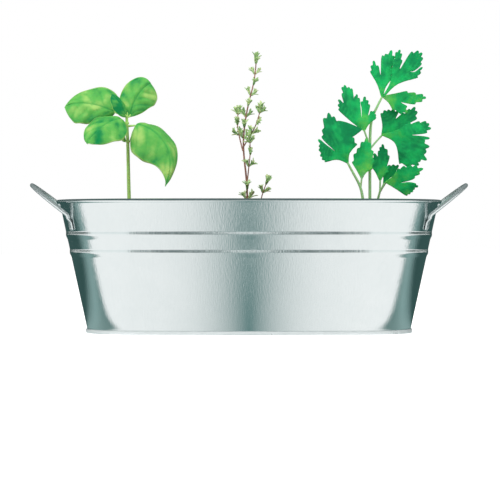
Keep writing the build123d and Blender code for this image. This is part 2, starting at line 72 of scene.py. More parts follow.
class Value:
    """A shader socket that takes part in sums. Each operator adds a Math node."""

    def __init__(self, tree, socket=None):
        self.tree = tree
        self.socket = socket

    def node(self, kind, inputs=None, out=0, **settings):
        """Adds a node, sets its settings and then its sockets, and gives one of its outputs."""
        made = self.tree.nodes.new("ShaderNode" + kind)
        for name, setting in settings.items():
            setattr(made, name, setting)
        for name, value in (inputs or {}).items():
            if isinstance(value, Value):
                self.tree.links.new(value.socket, made.inputs[name])
            else:
                made.inputs[name].default_value = value
        return Value(self.tree, made.outputs[out])

    def maths(self, operation, left, right=0.0):
        return self.node("Math", {0: left, 1: right}, operation=operation)

    def __add__(self, other):
        return self.maths("ADD", self, other)

    __radd__ = __add__

    def __sub__(self, other):
        return self.maths("SUBTRACT", self, other)

    def __rsub__(self, other):
        return self.maths("SUBTRACT", other, self)

    def __mul__(self, other):
        return self.maths("MULTIPLY", self, other)

    __rmul__ = __mul__

    def __truediv__(self, other):
        return self.maths("DIVIDE", self, other)

    def __abs__(self):
        return self.maths("ABSOLUTE", self)

    def rise(self, low, high):
        """0 below low, 1 above high, and a soft step between."""
        return self.node("MapRange", {0: self, 1: low, 2: high}, interpolation_type="SMOOTHSTEP")

    def mix(self, first, second):
        """The first colour where this is 0 and the second where it is 1."""
        return self.node("Mix", {0: self, 6: first, 7: second}, out=2, data_type="RGBA")

    def axis(self, name):
        """One of the three parts of this place."""
        return self.node("SeparateXYZ", {"Vector": self}, out=name)

    def noise(self, scale, detail, stretch=(1, 1, 1)):
        """Cloudy pattern, 0 to 1, on this place."""
        place = self.node("Mapping", {"Vector": self, "Scale": stretch})
        return self.node("TexNoise", {"Vector": place, "Scale": scale, "Detail": detail})

    def bump(self, strength, distance):
        """The normal of a surface that has this height, over a distance in metres."""
        return self.node("Bump", {"Strength": strength, "Distance": distance, "Height": self})

    def feed(self, **sockets):
        """Links values to the surface shader's sockets, named with _ for a space."""
        shader = self.tree.nodes["Principled BSDF"]
        for name, value in sockets.items():
            self.tree.links.new(value.socket, shader.inputs[name.replace("_", " ")])


def new_finish(name, **plain):
    """A material with its plain values set, and its surface place in metres."""
    material = bpy.data.materials.new(name)
    material.use_nodes = True
    shader = material.node_tree.nodes["Principled BSDF"]
    for socket, value in plain.items():
        shader.inputs[socket.replace("_", " ")].default_value = value
    return material, Value(material.node_tree).node("TexCoord", out="Object")


def zinc(name, grain, gloss, metal=1.0, depth=ROLLED_DEPTH):
    """Bright zinc coat: fine lines along the grain, faint crystal patches, and a dull bloom in places."""
    material, place = new_finish(name, Metallic=metal)
    lines = place.noise(ZINC_LINES, 4, grain)
    patches = place.node("TexVoronoi", {"Vector": place, "Scale": ZINC_CRYSTALS}, out="Color")
    patch = patches.node("SeparateColor", {"Color": patches})
    bloom = place.noise(ZINC_BLOOM, 4)
    shade = (lines - 0.5) * 0.25 + (patch - 0.5) * 0.06 + (bloom - 0.5) * 0.3 + 0.5
    colour = shade.rise(0.0, 1.0).mix(ZINC_DULL, ZINC_BRIGHT)
    rough = gloss + (bloom - 0.5) * 0.12 + (patch - 0.5) * 0.03
    relief = lines.bump(1.0, depth)
    lines.feed(Base_Color=colour, Roughness=rough, Normal=relief)
    return material


def only(kind, items):
    """The corners or the edges of a mixed list."""
    return [item for item in items if isinstance(item, kind)]


def round_the_tub(bm, profile):
    """Carries a profile, drawn at Y = 0 from the end arc's centre, round the four arcs of the plan."""
    start = only(bmesh.types.BMVert, profile)
    turn = Matrix.Translation((END_CENTRE, 0, 0)) @ Matrix.Rotation(-END_ANGLE, 4, "Z")
    bmesh.ops.transform(bm, matrix=turn, verts=start)
    for centre, sweep, steps in PLAN_ARCS:
        made = bmesh.ops.spin(bm, geom=profile, cent=centre, axis=(0, 0, 1), angle=sweep, steps=steps)
        profile = made["geom_last"]
    bmesh.ops.remove_doubles(bm, verts=bm.verts, dist=MERGE)
    bmesh.ops.recalc_face_normals(bm, faces=bm.faces)


def drawn_profile(bm, corners):
    """Open line through (outwards, height, bend radius) corners, with each bend rounded."""
    points = [bm.verts.new((END_RADIUS + out, 0, height)) for out, height, bend in corners]
    for first, second in zip(points, points[1:]):
        bm.edges.new((first, second))
    runs = [second.co - first.co for first, second in zip(points, points[1:])]
    bends = [corner[2] * tan(before.angle(after) / 2)
             for corner, before, after in zip(corners[1:], runs, runs[1:])]
    for point, offset in zip(points[1:], bends):
        bmesh.ops.bevel(bm, geom=[point], offset=offset, offset_type="OFFSET", segments=BEND_SEGMENTS,
                        profile=0.5, affect="VERTICES", material=-1)
    for edge in bm.edges[:]:
        rows = int(edge.calc_length() / PROFILE_STEP)
        if rows:
            bmesh.ops.subdivide_edges(bm, edges=[edge], cuts=rows)


def shown_mesh(name, bm, material):
    """Makes an object of a mesh, in one material."""
    mesh = bpy.data.meshes.new(name)
    for face in bm.faces:
        face.smooth = True
    bm.to_mesh(mesh)
    bm.free()
    mesh.materials.append(material)
    piece = bpy.data.objects.new(name, mesh)
    bpy.context.scene.collection.objects.link(piece)
    return piece


def finished(name, bm, material, slot, *nodes, sheet=None):
    """Makes a piece of a mesh, standing for CAD nodes and riding on the tub's one body.

    An open surface gets the thickness of its sheet, half to each side.
    """
    piece = shown_mesh(name, bm, material)
    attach(piece, "root")
    if nodes:
        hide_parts(*nodes)
    if sheet:
        wall = piece.modifiers.new("thickness", "SOLIDIFY")
        wall.thickness = sheet
        wall.offset = 0


zinc_fold = zinc("zinc_fold", ROLLED_GRAIN, gloss=0.3, metal=0.35)
bm = bmesh.new()
leg = SHEET + SEAM_GAP
drawn_profile(bm, (
    (-leg - PAN_EDGE, PAN_HEIGHT, 0), (-leg, PAN_HEIGHT, SEAM_BEND), (-leg, SHEET / 2, SEAM_BEND),
    (leg, SHEET / 2, SEAM_BEND), (leg, SEAM_HEIGHT, 0)))
round_the_tub(bm, bm.verts[:] + bm.edges[:])
edges = [edge for edge in bm.edges if edge.is_boundary]
inner_edge = [edge for edge in edges if edge.verts[0].co.z > SEAM_HEIGHT + SHEET / 2]
bmesh.ops.contextual_create(bm, geom=inner_edge)
finished("base_pan_sheet", bm, zinc_fold, "zinc_sheet", "base_pan", sheet=SHEET)

# Tub wall: one strip of zinc-coated sheet, rolled to an oval and flared, with two beads rolled
# outwards to stiffen it. Its top edge is curled outwards into a rim, and its lower edge sits in the
# base pan's fold.
HEIGHT = 86 * mm
FLARE = 18 * mm
KNEE_HEIGHT = 3.2 * mm
KNEE_RADIUS = 2 * mm
CURL_RADIUS = 1.05 * mm
CURL_TURN = radians(285)
CURL_STEPS = 26
BEAD_DROPS = (34.4 * mm, 23 * mm)
BEAD_HEIGHT = 5 * mm
BEAD_RISE = 0.6 * mm
BEAD_RADIUS = 3 * mm
WALL_ANGLE = atan2(FLARE, HEIGHT - KNEE_HEIGHT)


def flare_at(height):
    """How far the straight wall stands out from its lower edge at a height."""
    return FLARE * (height - KNEE_HEIGHT) / (HEIGHT - KNEE_HEIGHT)


def wall_corners():
    """The wall's profile from its lower edge to where the rim starts to curl."""
    corners = [(0, SHEET + SEAM_GAP, 0), (0, KNEE_HEIGHT, KNEE_RADIUS)]
    for drop in BEAD_DROPS:
        middle = HEIGHT - drop
        for step, rise in ((-1, 0), (0, BEAD_RISE), (1, 0)):
            height = middle + step * BEAD_HEIGHT / 2
            corners.append((flare_at(height) + rise, height, BEAD_RADIUS))
    top = HEIGHT - SHEET / 2 - CURL_RADIUS * (1 - sin(WALL_ANGLE))
    corners.append((flare_at(top), top, 0))
    return corners


zinc_sheet = zinc("zinc_sheet", ROLLED_GRAIN, gloss=0.13)
bm = bmesh.new()
drawn_profile(bm, wall_corners())
rim_start = max(bm.verts, key=lambda vert: vert.co.z)
curl_centre = rim_start.co + Vector((cos(WALL_ANGLE), 0, -sin(WALL_ANGLE))) * CURL_RADIUS
bmesh.ops.spin(bm, geom=[rim_start], cent=curl_centre, axis=(0, 1, 0), angle=CURL_TURN, steps=CURL_STEPS)
round_the_tub(bm, bm.verts[:] + bm.edges[:])
finished("tub_wall_sheet", bm, zinc_sheet, "zinc_sheet", "tub_wall", sheet=SHEET)

# Lock seam: the wall strip's two ends are hooked together and pressed flat, in a fold that runs up the
# middle of the back. It is the same zinc-coated sheet, standing a little proud of the wall.
LOCK_SEAM_WIDTH = 5 * mm
LOCK_SEAM_RISE = 0.4 * mm
LOCK_SEAM_STEPS = 6
BELOW_RIM = 5 * CURL_RADIUS

bm = bmesh.new()
seam_foot, seam_head = SEAM_HEIGHT + CURL_RADIUS, HEIGHT - BELOW_RIM
corners = [corner for corner in wall_corners() if seam_foot < corner[1] < seam_head]
ends = [(flare_at(height), height, 0) for height in (seam_foot, seam_head)]
drawn_profile(bm, [ends[0], *corners, ends[1]])
bmesh.ops.translate(bm, vec=(SIDE_RADIUS - END_RADIUS + LOCK_SEAM_RISE, 0, 0), verts=bm.verts)
half_turn = LOCK_SEAM_WIDTH / (SIDE_RADIUS + FLARE) / 2
place = Matrix.Translation((0, -SIDE_CENTRE, 0)) @ Matrix.Rotation(pi / 2 - half_turn, 4, "Z")
bmesh.ops.transform(bm, matrix=place, verts=bm.verts)
bmesh.ops.spin(bm, geom=bm.verts[:] + bm.edges[:], cent=(0, -SIDE_CENTRE, 0), axis=(0, 0, 1),
               angle=2 * half_turn, steps=LOCK_SEAM_STEPS)
bmesh.ops.recalc_face_normals(bm, faces=bm.faces)
finished("lock_seam", bm, zinc_sheet, "zinc_sheet", sheet=SHEET)

# Wire handles: a loop of round zinc-coated wire at each end. Its two ends are bent down along the
# wall, pressed flat, and spot welded, which leaves a small dimple in each flat.
WIRE = 2.6 * mm
HANDLE_SPAN = 52 * mm
HANDLE_SLOPE = radians(38)
HANDLE_REACH = 32 * mm
HANDLE_DROP = 9.7 * mm
HANDLE_BEND = 4 * mm
FOOT_CLEAR = 0.6 * mm
FOOT_WIDTH = 5.2 * mm
FOOT_THICKNESS = 1.3 * mm
FOOT_TAPER = 4 * mm
WELD_GAP = 0.1 * mm
WELD_DIMPLE = 1.3 * mm
WELD_DEPTH = 0.3 * mm
FOOT_END = 1.2 * mm
FOOT_END_WIDTH = 0.12
WIRE_SIDES, LOOP_STEPS, BEND_STEPS = 28, 24, 12
TAPER_ROWS, FLAT_ROWS, END_ROWS = 8, 16, 5
WIRE_GRAIN, WIRE_DEPTH = (0.2, 0.2, 0.2), 0.012 * mm


def pulled(bm, loop, move):
    """Draws a loop of edges out by a move, and gives the new loop and its corners."""
    made = bmesh.ops.extrude_edge_only(bm, edges=loop)["geom"]
    corners = only(bmesh.types.BMVert, made)
    bmesh.ops.translate(bm, vec=move, verts=corners)
    fresh = set(corners)
    edges = only(bmesh.types.BMEdge, made)
    return [edge for edge in edges if fresh.issuperset(edge.verts)], corners


def spun(bm, loop, centre, axis, angle, steps):
    """Turns a loop of edges about an axis, and gives the last loop."""
    corners = list({vert for edge in loop for vert in edge.verts})
    made = bmesh.ops.spin(bm, geom=corners + loop, cent=centre, axis=axis, angle=angle, steps=steps)
    return only(bmesh.types.BMEdge, made["geom_last"])


def wire_handle():
    """Half of the right-hand handle, from the loop's middle to the flat foot, and its mirror image."""
    bend_height = HEIGHT - HANDLE_DROP
    wall_radius = END_RADIUS + flare_at(bend_height)
    turn = asin(HANDLE_SPAN / 2 / wall_radius)
    level = Vector((cos(turn), sin(turn), 0))
    up = Vector((0, 0, 1))
    outwards = level * cos(WALL_ANGLE) - up * sin(WALL_ANGLE)
    upwards = level * sin(WALL_ANGLE) + up * cos(WALL_ANGLE)
    sideways = upwards.cross(outwards)
    on_wall = Vector((END_CENTRE, 0, bend_height)) + level * wall_radius
    corner = on_wall + outwards * (SHEET / 2 + WELD_GAP + WIRE / 2)
    along = Vector((cos(HANDLE_SLOPE), 0, sin(HANDLE_SLOPE)))
    bend = upwards.angle(along)
    trim = HANDLE_BEND * tan(bend / 2)
    leg = HANDLE_REACH - corner.y
    loop_centre = corner + along * leg
    loop_centre.y = 0
    low = corner - upwards * trim
    bend_centre = low + (along - upwards * along.dot(upwards)).normalized() * HANDLE_BEND

    bm = bmesh.new()
    start = Matrix.Translation(loop_centre + along * corner.y) @ Matrix.Rotation(pi / 2, 4, "X")
    bmesh.ops.create_circle(bm, segments=WIRE_SIDES, radius=WIRE / 2, matrix=start)
    loop = spun(bm, bm.edges[:], loop_centre, along.cross((0, 1, 0)), pi / 2, LOOP_STEPS)
    loop, _ = pulled(bm, loop, along * (trim - leg))
    loop = spun(bm, loop, bend_centre, along.cross(upwards), bend, BEND_STEPS)

    middle = low.copy()
    thick, wide = 1.0, 1.0
    to_bead = BEAD_DROPS[-1] - BEAD_HEIGHT / 2 - HANDLE_DROP - FOOT_CLEAR
    foot_length = to_bead / cos(WALL_ANGLE) - trim
    flat_length = foot_length - FOOT_TAPER - FOOT_END
    flat_drop = (WIRE - FOOT_THICKNESS) / 2
    rows = []
    for step in range(1, TAPER_ROWS + 1):
        share = (1 - cos(pi * step / TAPER_ROWS)) / 2
        rows.append((FOOT_TAPER * step / TAPER_ROWS, share, 1))
    for step in range(1, FLAT_ROWS + 1):
        rows.append((FOOT_TAPER + flat_length * step / FLAT_ROWS, 1, 1))
    for step in range(1, END_ROWS + 1):
        turned = pi / 2 * step / END_ROWS
        width = max(cos(turned), FOOT_END_WIDTH)
        rows.append((foot_length - FOOT_END * (1 - sin(turned)), 1, width))
    for drop, share, closed in rows:
        target = low - upwards * drop - outwards * (flat_drop * share)
        now_thick = (1 + (FOOT_THICKNESS / WIRE - 1) * share) * (0.5 + closed / 2)
        now_wide = (1 + (FOOT_WIDTH / WIRE - 1) * share) * closed
        loop, corners = pulled(bm, loop, target - middle)
        basis = Matrix((outwards, sideways, upwards)).transposed().to_4x4()
        basis.translation = target
        stretch = (now_thick / thick, now_wide / wide, 1)
        bmesh.ops.scale(bm, vec=stretch, space=basis.inverted(), verts=corners)
        middle, thick, wide = target, now_thick, now_wide
    bmesh.ops.contextual_create(bm, geom=loop)

    weld = low - upwards * ((FOOT_TAPER + foot_length) / 2) - outwards * flat_drop
    for vert in bm.verts:
        away = vert.co - weld
        spread = hypot(away.dot(upwards), away.dot(sideways)) / WELD_DIMPLE
        if spread < 1 and away.dot(outwards) > 0:
            vert.co -= outwards * (WELD_DEPTH * (1 - spread**2))
    bmesh.ops.mirror(bm, geom=bm.verts[:] + bm.edges[:] + bm.faces[:], axis="Y", merge_dist=MERGE)
    bmesh.ops.remove_doubles(bm, verts=bm.verts, dist=MERGE)
    bmesh.ops.recalc_face_normals(bm, faces=bm.faces)
    return bm


zinc_wire = zinc("zinc_wire", WIRE_GRAIN, gloss=0.3, metal=0.85, depth=WIRE_DEPTH)
finished("right_handle_wire", wire_handle(), zinc_wire, "zinc_wire", "right_handle")
bm = wire_handle()
bmesh.ops.scale(bm, vec=(-1, 1, 1), verts=bm.verts)
bmesh.ops.recalc_face_normals(bm, faces=bm.faces)
finished("left_handle_wire", bm, zinc_wire, "zinc_wire", "left_handle")

# Potting soil: loose dark compost that fills the tub to a little under the rim, lumpy on top, with
# crumbs, pale grains of perlite and shreds of bark lying on it. The herbs' stems stand in it.
SOIL_TOP = 73 * mm
SOIL_EDGE = 0.55 * mm
SOIL_CROWN = 2 * mm
SOIL_SHOULDER = 14 * mm
SOIL_GRID = 1.9 * mm
CLOD_SPACING = 17 * mm
CLOD_RADIUS = 6.4 * mm
CLOD_RISE = 1.5 * mm
CLOD_SHIFT = 2 * mm
CLOD_ROW_TURN, CLOD_COLUMN_TURN = radians(138), radians(97)
HALF_LENGTH, HALF_WIDTH = END_CENTRE + END_RADIUS + FLARE, SIDE_RADIUS - SIDE_CENTRE + FLARE
BROAD_LUMPS, BROAD_RISE = 75, 0.3 * mm
SMALL_LUMPS, SMALL_RISE = 230, 0.5 * mm
CRUMBS, CRUMB_LEVEL, CRUMB_RISE = 420, 0.3, 0.9 * mm
SOIL_CLUMPS, SOIL_SPECKS, SOIL_PATCHES = 260, 900, 45
SOIL_WET, SOIL_DRY = (0.018, 0.011, 0.007, 1), (0.14, 0.088, 0.055, 1)
PERLITE_GREY, PERLITE_WHITE = (0.5, 0.47, 0.42, 1), (0.8, 0.78, 0.73, 1)
BARK_DARK, BARK_PALE = (0.06, 0.032, 0.016, 1), (0.24, 0.14, 0.07, 1)
GRAIN_EDGE, GRAIN_LIFT, GRAIN_TURN, GRAIN_TILT = 3.4, 0.35, 6.3, 0.5
GRAIN_LUMPS, GRAIN_ROUGH = 900, 0.3


def plan_place(x, y):
    """Distance of a point from its arc's centre less that arc's base radius, and the way outwards."""
    from_end = Vector((abs(x) - END_CENTRE, y, 0))
    if abs(atan2(from_end.y, from_end.x)) < END_ANGLE:
        outwards = from_end.normalized()
        return from_end.length - END_RADIUS, Vector((copysign(outwards.x, x), outwards.y, 0))
    from_side = Vector((x, y + copysign(SIDE_CENTRE, y), 0))
    return from_side.length - SIDE_RADIUS, from_side.normalized()


def clod_places():
    """Middles of the clods: staggered rows on the crown, each clod shifted a little by its row and column."""
    row_step = CLOD_SPACING * sin(radians(60))
    rows, columns = int(HALF_WIDTH / row_step), int(HALF_LENGTH / CLOD_SPACING)
    edge = flare_at(SOIL_TOP) - SOIL_EDGE - SOIL_SHOULDER - CLOD_RADIUS - CLOD_SHIFT
    places = []
    for row in range(-rows, rows + 1):
        for column in range(-columns, columns + 1):
            place = Vector(((column + row % 2 / 2) * CLOD_SPACING, row * row_step, 0))
            turn = CLOD_ROW_TURN * row + CLOD_COLUMN_TURN * column
            if plan_place(place.x, place.y)[0] < edge:
                places.append(place + Vector((cos(turn), sin(turn), 0)) * CLOD_SHIFT)
    return places


def soil_height(x, y):
    """Height of the soil's surface: a low crown with clods on it, lumps and crumbs."""
    spot = Vector((x, y, 0))
    inside = flare_at(SOIL_TOP) - SOIL_EDGE - plan_place(x, y)[0]
    crown = SOIL_CROWN * min(max(inside / SOIL_SHOULDER, 0), 1)
    nearest = min((spot - clod).length for clod in clods) / CLOD_RADIUS
    clod = CLOD_RISE * max(0, 1 - nearest**2)
    lumps = noise.noise(spot * BROAD_LUMPS) * BROAD_RISE
    lumps += noise.noise(Vector((x, y, 1)) * SMALL_LUMPS) * SMALL_RISE
    crumbs = (abs(noise.noise(Vector((x, y, 2)) * CRUMBS)) - CRUMB_LEVEL) * CRUMB_RISE
    return SOIL_TOP + crown + clod + lumps + crumbs


def cut_in_squares(bm, half_length, half_width, step):
    """Cuts a flat face across at even steps, both ways."""
    for reach, across in ((half_length, (1, 0, 0)), (half_width, (0, 1, 0))):
        cuts = int(reach / step)
        for cut in range(-cuts, cuts + 1):
            everything = bm.verts[:] + bm.edges[:] + bm.faces[:]
            plane = Vector(across) * cut * step
            bmesh.ops.bisect_plane(bm, geom=everything, plane_co=plane, plane_no=across)


clods = clod_places()
soil, place = new_finish("potting_soil", Roughness=0.95)
clumps = place.noise(SOIL_CLUMPS, 6)
specks = place.noise(SOIL_SPECKS, 4)
patches = place.noise(SOIL_PATCHES, 3)
shade = clumps * 0.7 + specks * 0.5 + patches * 0.3 - 0.25
colour = shade.rise(0.1, 0.95).mix(SOIL_WET, SOIL_DRY)
relief = (clumps + specks * 0.5).bump(0.8, 0.5 * mm)
place.feed(Base_Color=colour, Normal=relief)

bm = bmesh.new()
edge_point = bm.verts.new((END_RADIUS + flare_at(SOIL_TOP) - SOIL_EDGE, 0, SOIL_TOP))
round_the_tub(bm, [edge_point])
bmesh.ops.contextual_create(bm, geom=bm.edges[:])
cut_in_squares(bm, HALF_LENGTH, HALF_WIDTH, SOIL_GRID)
rim = [edge for edge in bm.edges if edge.is_boundary]
for vert in bm.verts:
    vert.co.z = soil_height(vert.co.x, vert.co.y)
rim, corners = pulled(bm, rim, (0, 0, 0))
soil_floor = PAN_HEIGHT + SHEET / 2
for vert in corners:
    reach, outwards = plan_place(vert.co.x, vert.co.y)
    vert.co -= outwards * (reach + 2 * SOIL_EDGE)
    vert.co.z = soil_floor
bmesh.ops.contextual_create(bm, geom=rim)
bmesh.ops.recalc_face_normals(bm, faces=bm.faces)
finished("potting_soil_fill", bm, soil, "potting_soil", "potting_soil")

perlite, place = new_finish("perlite", Roughness=0.9)
pits = place.noise(1500, 3)
place.feed(Base_Color=pits.rise(0.3, 0.7).mix(PERLITE_GREY, PERLITE_WHITE))
bark, place = new_finish("bark", Roughness=0.85)
fibres = place.noise(700, 4, (1, 1, 4))
place.feed(Base_Color=fibres.rise(0.3, 0.7).mix(BARK_DARK, BARK_PALE))
random.seed(11)
# Each row is a name, a finish, a count, the least and the greatest radius in millimetres, and the
# grain's length, width and height as shares of its radius.
grains = (
    ("soil_crumbs", soil, 620, 0.5, 1.9, (1, 1, 0.8)),
    ("soil_perlite", perlite, 110, 0.4, 1.1, (1, 0.9, 0.8)),
    ("soil_bark", bark, 130, 0.5, 1.3, (3.2, 0.7, 0.4)),
)
for name, material, count, small, large, shape in grains:
    bm = bmesh.new()
    while count:
        x = random.uniform(-HALF_LENGTH, HALF_LENGTH)
        y = random.uniform(-HALF_WIDTH, HALF_WIDTH)
        size = random.uniform(small, large) * mm
        if plan_place(x, y)[0] > flare_at(SOIL_TOP) - SOIL_EDGE - GRAIN_EDGE * large * mm:
            continue
        count -= 1
        spot = Matrix.Translation((x, y, soil_height(x, y) + size * shape[2] * GRAIN_LIFT))
        turn = Matrix.Rotation(random.uniform(0, GRAIN_TURN), 4, "Z")
        tilt = Matrix.Rotation(random.uniform(-GRAIN_TILT, GRAIN_TILT), 4, "X")
        lump = spot @ turn @ tilt @ Matrix.Diagonal((*[side * size for side in shape], 1))
        grain = bmesh.ops.create_icosphere(bm, subdivisions=1, radius=1, matrix=lump)
        for vert in grain["verts"]:
            vert.co += noise.noise_vector(vert.co * GRAIN_LUMPS) * size * GRAIN_ROUGH
    finished(name, bm, material, "potting_soil")

# Basil: one soft green stem with two crossed pairs of broad glossy leaves, a young leaf at the top
# and two small ones in the axils below. The blades are quilted between their veins.
BASIL_X = -78 * mm
BASIL_BLADE = 0.6 * mm
BASIL_CROWN = 0.22
BASIL_SHOULDER = 0.58
BASIL_STEM_RADII = 1.35 * mm, 0.9 * mm
BASIL_STALK_RADII = 0.85 * mm, 0.35 * mm
BASIL_JOINT = 1.5 * mm
BASIL_NODE = -1.4, 0.2
AXIL_BLADE = 0.4 * mm
AXIL_REACH = 1.4, 2.6, 3.6, 4.0
RIB_WIDTH, RIB_GROOVE, VEIN_SLANT = 0.45 * mm, 0.5 * mm, 0.3
QUILT, QUILT_RISE, WRINKLES, WRINKLE_RISE = 160, 0.9 * mm, 380, 0.35 * mm
PUFF_RISE, WAVES, WAVE_NOISE, WAVE_RISE = 0.05, 15, 110, 0.06
# Where the painted sheen begins on the outer strip of each basil half, and how fast it grows.
SHEEN_START, SHEEN_GAIN = 0.93, 14
LEAF_PATCHES, LEAF_CELLS = 120.0, 900.0
# The pale greyish colour of the painted sheen on the lightest places of a leaf.
LEAF_SHEEN = (0.45, 0.62, 0.38, 1)
BASIL_STEM = ((0, 0, -22), (0.4, 0, 0), (-0.4, 0.5, 30), (-0.8, 0, 51), (-1.4, 0, 63), (-1.6, 0.5, 70))
# Each leaf: its node's height, the four points of its rib, the width, taper and shoulder of its two
# halves, the way that it faces, the fold of each half, its tone, and how far the second half hangs, in mm.
BASIL_LEAVES = {
    "left_lower": (61, ((-3.5, -3.5, 64), (-9, -8, 64), (-18, -14, 58), (-26, -19, 49.5)),
                   ((13.5, 0.7), (14.5, 0.7)), (-0.3, -0.8, 0.5), (0.2, 0.2), -0.15),
    "right_lower": (61, ((4.6, -4, 61.3), (13, -7, 58), (34, -13, 49), (24.8, -20, 21.5)),
                    ((12, 1.0, 0.45), (14, 1.2)), (0.5, -0.8, 0.35), (0.2, 0.75), 0.05, 3),
    "left_upper": (67, ((-9.4, 4, 70.3), (-19, 8, 73.5), (-32, 10, 78), (-42.5, 9, 74)),
                   ((13.5, 0.3, 0.6), (15.5, 1.1)), (-0.1, -0.9, 0.45), (0.1, 0.1), 0.05),
    "right_upper": (67, ((0.5, 3.5, 67.5), (1.5, 7, 76), (6, 10, 84.5), (13.5, 9, 89.5)),
                    ((11, 0.45), (12, 0.3, 0.65)), (0.1, -0.9, 0.4), (0.1, 0.1), 0.0),
    # The young leaf's low tone darkens it: painted shade on its turned-away face.
    "young": (69, ((-1.5, -2.5, 67), (-4, -3.5, 73), (-7.5, -4.5, 78), (-11, -4, 81.5)),
              ((4.6, 0.7), (4.8, 0.7)), (0.5, -0.8, 0.3), (0.5, 0.5), -0.25),
}


def herb_place(x, point):
    """A point given in millimetres from the foot of a herb at x, with heights from the soil's edge."""
    return Vector((x + point[0] * mm, point[1] * mm, SOIL_TOP + point[2] * mm))


def herb_line(x, points):
    return [herb_place(x, point) for point in points]


def add_stalk(bm, points, thick, thin):
    """Round stalk that tapers along a smooth line by the points, with closed ends."""
    line = bpy.data.curves.new("stalk", "CURVE")
    line.dimensions = "3D"
    line.bevel_depth = 1
    line.bevel_resolution = 3
    line.use_fill_caps = True
    line.resolution_u = 8
    spline = line.splines.new("NURBS")
    spline.points.add(len(points) - 1)
    for index, (knot, point) in enumerate(zip(spline.points, points)):
        knot.co = (*point, 1)
        knot.radius = thick + (thin - thick) * index / (len(points) - 1)
    spline.order_u = 3
    spline.use_endpoint_u = True
    holder = bpy.data.objects.new("stalk", line)
    tube = bpy.data.meshes.new_from_object(holder)
    bm.from_mesh(tube)
    bpy.data.objects.remove(holder)
    bpy.data.curves.remove(line)
    bpy.data.meshes.remove(tube)


def leaf_mesh():
    """Empty mesh whose corners say how near they are to a vein and how light the blade is there, its painted
    highlights and sheen included.
    """
    bm = bmesh.new()
    bm.verts.layers.float.new("vein")
    bm.verts.layers.float.new("light")
    return bm


def leaf_finish(name, dark, middle, pale, rib, gloss):
    """Living leaf: three greens in soft patches, veins, a painted pale sheen where the blade is lightest, and
    a waxy face with fine cells.
    """
    material, place = new_finish(name, Subsurface_Weight=0.12, Subsurface_Scale=0.6 * mm,
                                 Specular_IOR_Level=0.14)
    vein = place.node("Attribute", out="Fac", attribute_name="vein")
    light = place.node("Attribute", out="Fac", attribute_name="light")
    patches = place.noise(LEAF_PATCHES, 5)
    cells = place.node("TexVoronoi", {"Vector": place, "Scale": LEAF_CELLS}, out="Distance")
    shade = light + (patches - 0.5) * 1.2
    green = shade.rise(0.0, 0.5).mix(dark, middle)
    green = shade.rise(0.45, 1.0).mix(green, pale)
    # Past 1 the lightness turns to a pale greyish painted sheen.
    green = light.rise(1.0, 1.5).mix(green, LEAF_SHEEN)
    # On parsley, thyme and stems the vein colour is a paler green; on basil it is darker, painted shade in
    # the grooves of the rib and in the creases between the puffs.
    colour = (vein * 0.75).mix(green, rib)
    rough = gloss + (patches - 0.5) * 0.2 + cells * 0.12
    relief = (cells + patches * 0.6).bump(0.5, 0.15 * mm)
    place.feed(Base_Color=colour, Roughness=rough, Normal=relief)
    return material


def basil_share(s, taper, shoulder=BASIL_SHOULDER):
    """Half width of a blade at a share of its length, as a share of its widest."""
    whole = shoulder + taper
    widest = (shoulder / whole)**shoulder * (taper / whole)**taper
    return (s + 0.004)**shoulder * (1.0005 - s)**taper / widest


def basil_blade(bm, rib, halves, facing, folds, tone, hang=0, veins=4.5, across=30, rows=44):
    """Arched blade along a curved rib, folded at the rib, puffed up and wrinkled between its side veins.

    Each half has its own width and its own taper, small for a round end and large for a pointed one,
    and the second half may hang down, the most at two thirds of the rib, where s**2 * rest is 4 / 27.
    """
    vein, light = bm.verts.layers.float["vein"], bm.verts.layers.float["light"]
    start, first, second, tip = rib
    crosswise = (tip - start).cross(Vector(facing)).normalized()
    grid = bmesh.ops.create_grid(bm, x_segments=across, y_segments=rows, size=1)
    for vert in grid["verts"]:
        side, s = vert.co.x, (1 + sin(pi / 2 * vert.co.y)) / 2
        rest = 1 - s
        point = start * rest**3 + first * (3 * s * rest**2) + second * (3 * s**2 * rest) + tip * s**3
        run = (first - start) * rest**2 + (second - first) * (2 * s * rest) + (tip - second) * s**2
        run.normalize()
        level = (crosswise - run * crosswise.dot(run)).normalized()
        up = level.cross(run)
        widths = [width * mm * basil_share(s, *shape) for width, *shape in halves]
        half, mean = widths[side > 0], sum(widths) / 2
        row = (s - VEIN_SLANT * abs(side)) * veins
        pillow = sin(pi * (row % 1))
        near_rib = exp(-(side * half / RIB_WIDTH)**2)
        near_vein = max(0, 1 - pillow * 3.6) * (1 - abs(side))**0.6 * (1 - near_rib)
        inner = min(1, abs(side) * 5) * (1 - side**6)
        spot = point + level * (side * half)
        spot.z -= hang * mm * 27 / 4 * s**2 * rest * max(0, side)**2
        quilt = noise.noise(spot * QUILT) * QUILT_RISE + noise.noise(spot * WRINKLES) * WRINKLE_RISE
        puff = pillow**0.7 * inner * PUFF_RISE * half + quilt * inner * min(1, halves[0][0] / 10)
        wave = (sin(s * WAVES + side * 2) + noise.noise(spot * WAVE_NOISE)) * side**4 * WAVE_RISE * half
        arch = BASIL_CROWN * mean * (1 - side**2) - folds[side > 0] * half * abs(side)
        vert.co = spot + up * (arch - near_rib * RIB_GROOVE + puff + wave - BASIL_BLADE / 2)
        # On basil this vein mark, strongest towards the foot, carries painted shade along the grooved rib and
        # in the creases between the puffs.
        vert[vein] = max(near_rib, near_vein * 0.45) * (0.35 + 0.65 * rest)
        # The outermost strip of each half is lifted past 1 here, which paints a pale sheen on the blade's
        # edges.
        edge_sheen = max(0, abs(side) - SHEEN_START) * SHEEN_GAIN
        # The puffs between the veins are painted paler than the creases, a painted highlight on their raised
        # faces; the noise is the blade's own patchy tone.
        vert[light] = 0.38 + tone + 0.2 * pillow * inner + 0.5 * noise.noise(spot * LEAF_PATCHES) + edge_sheen
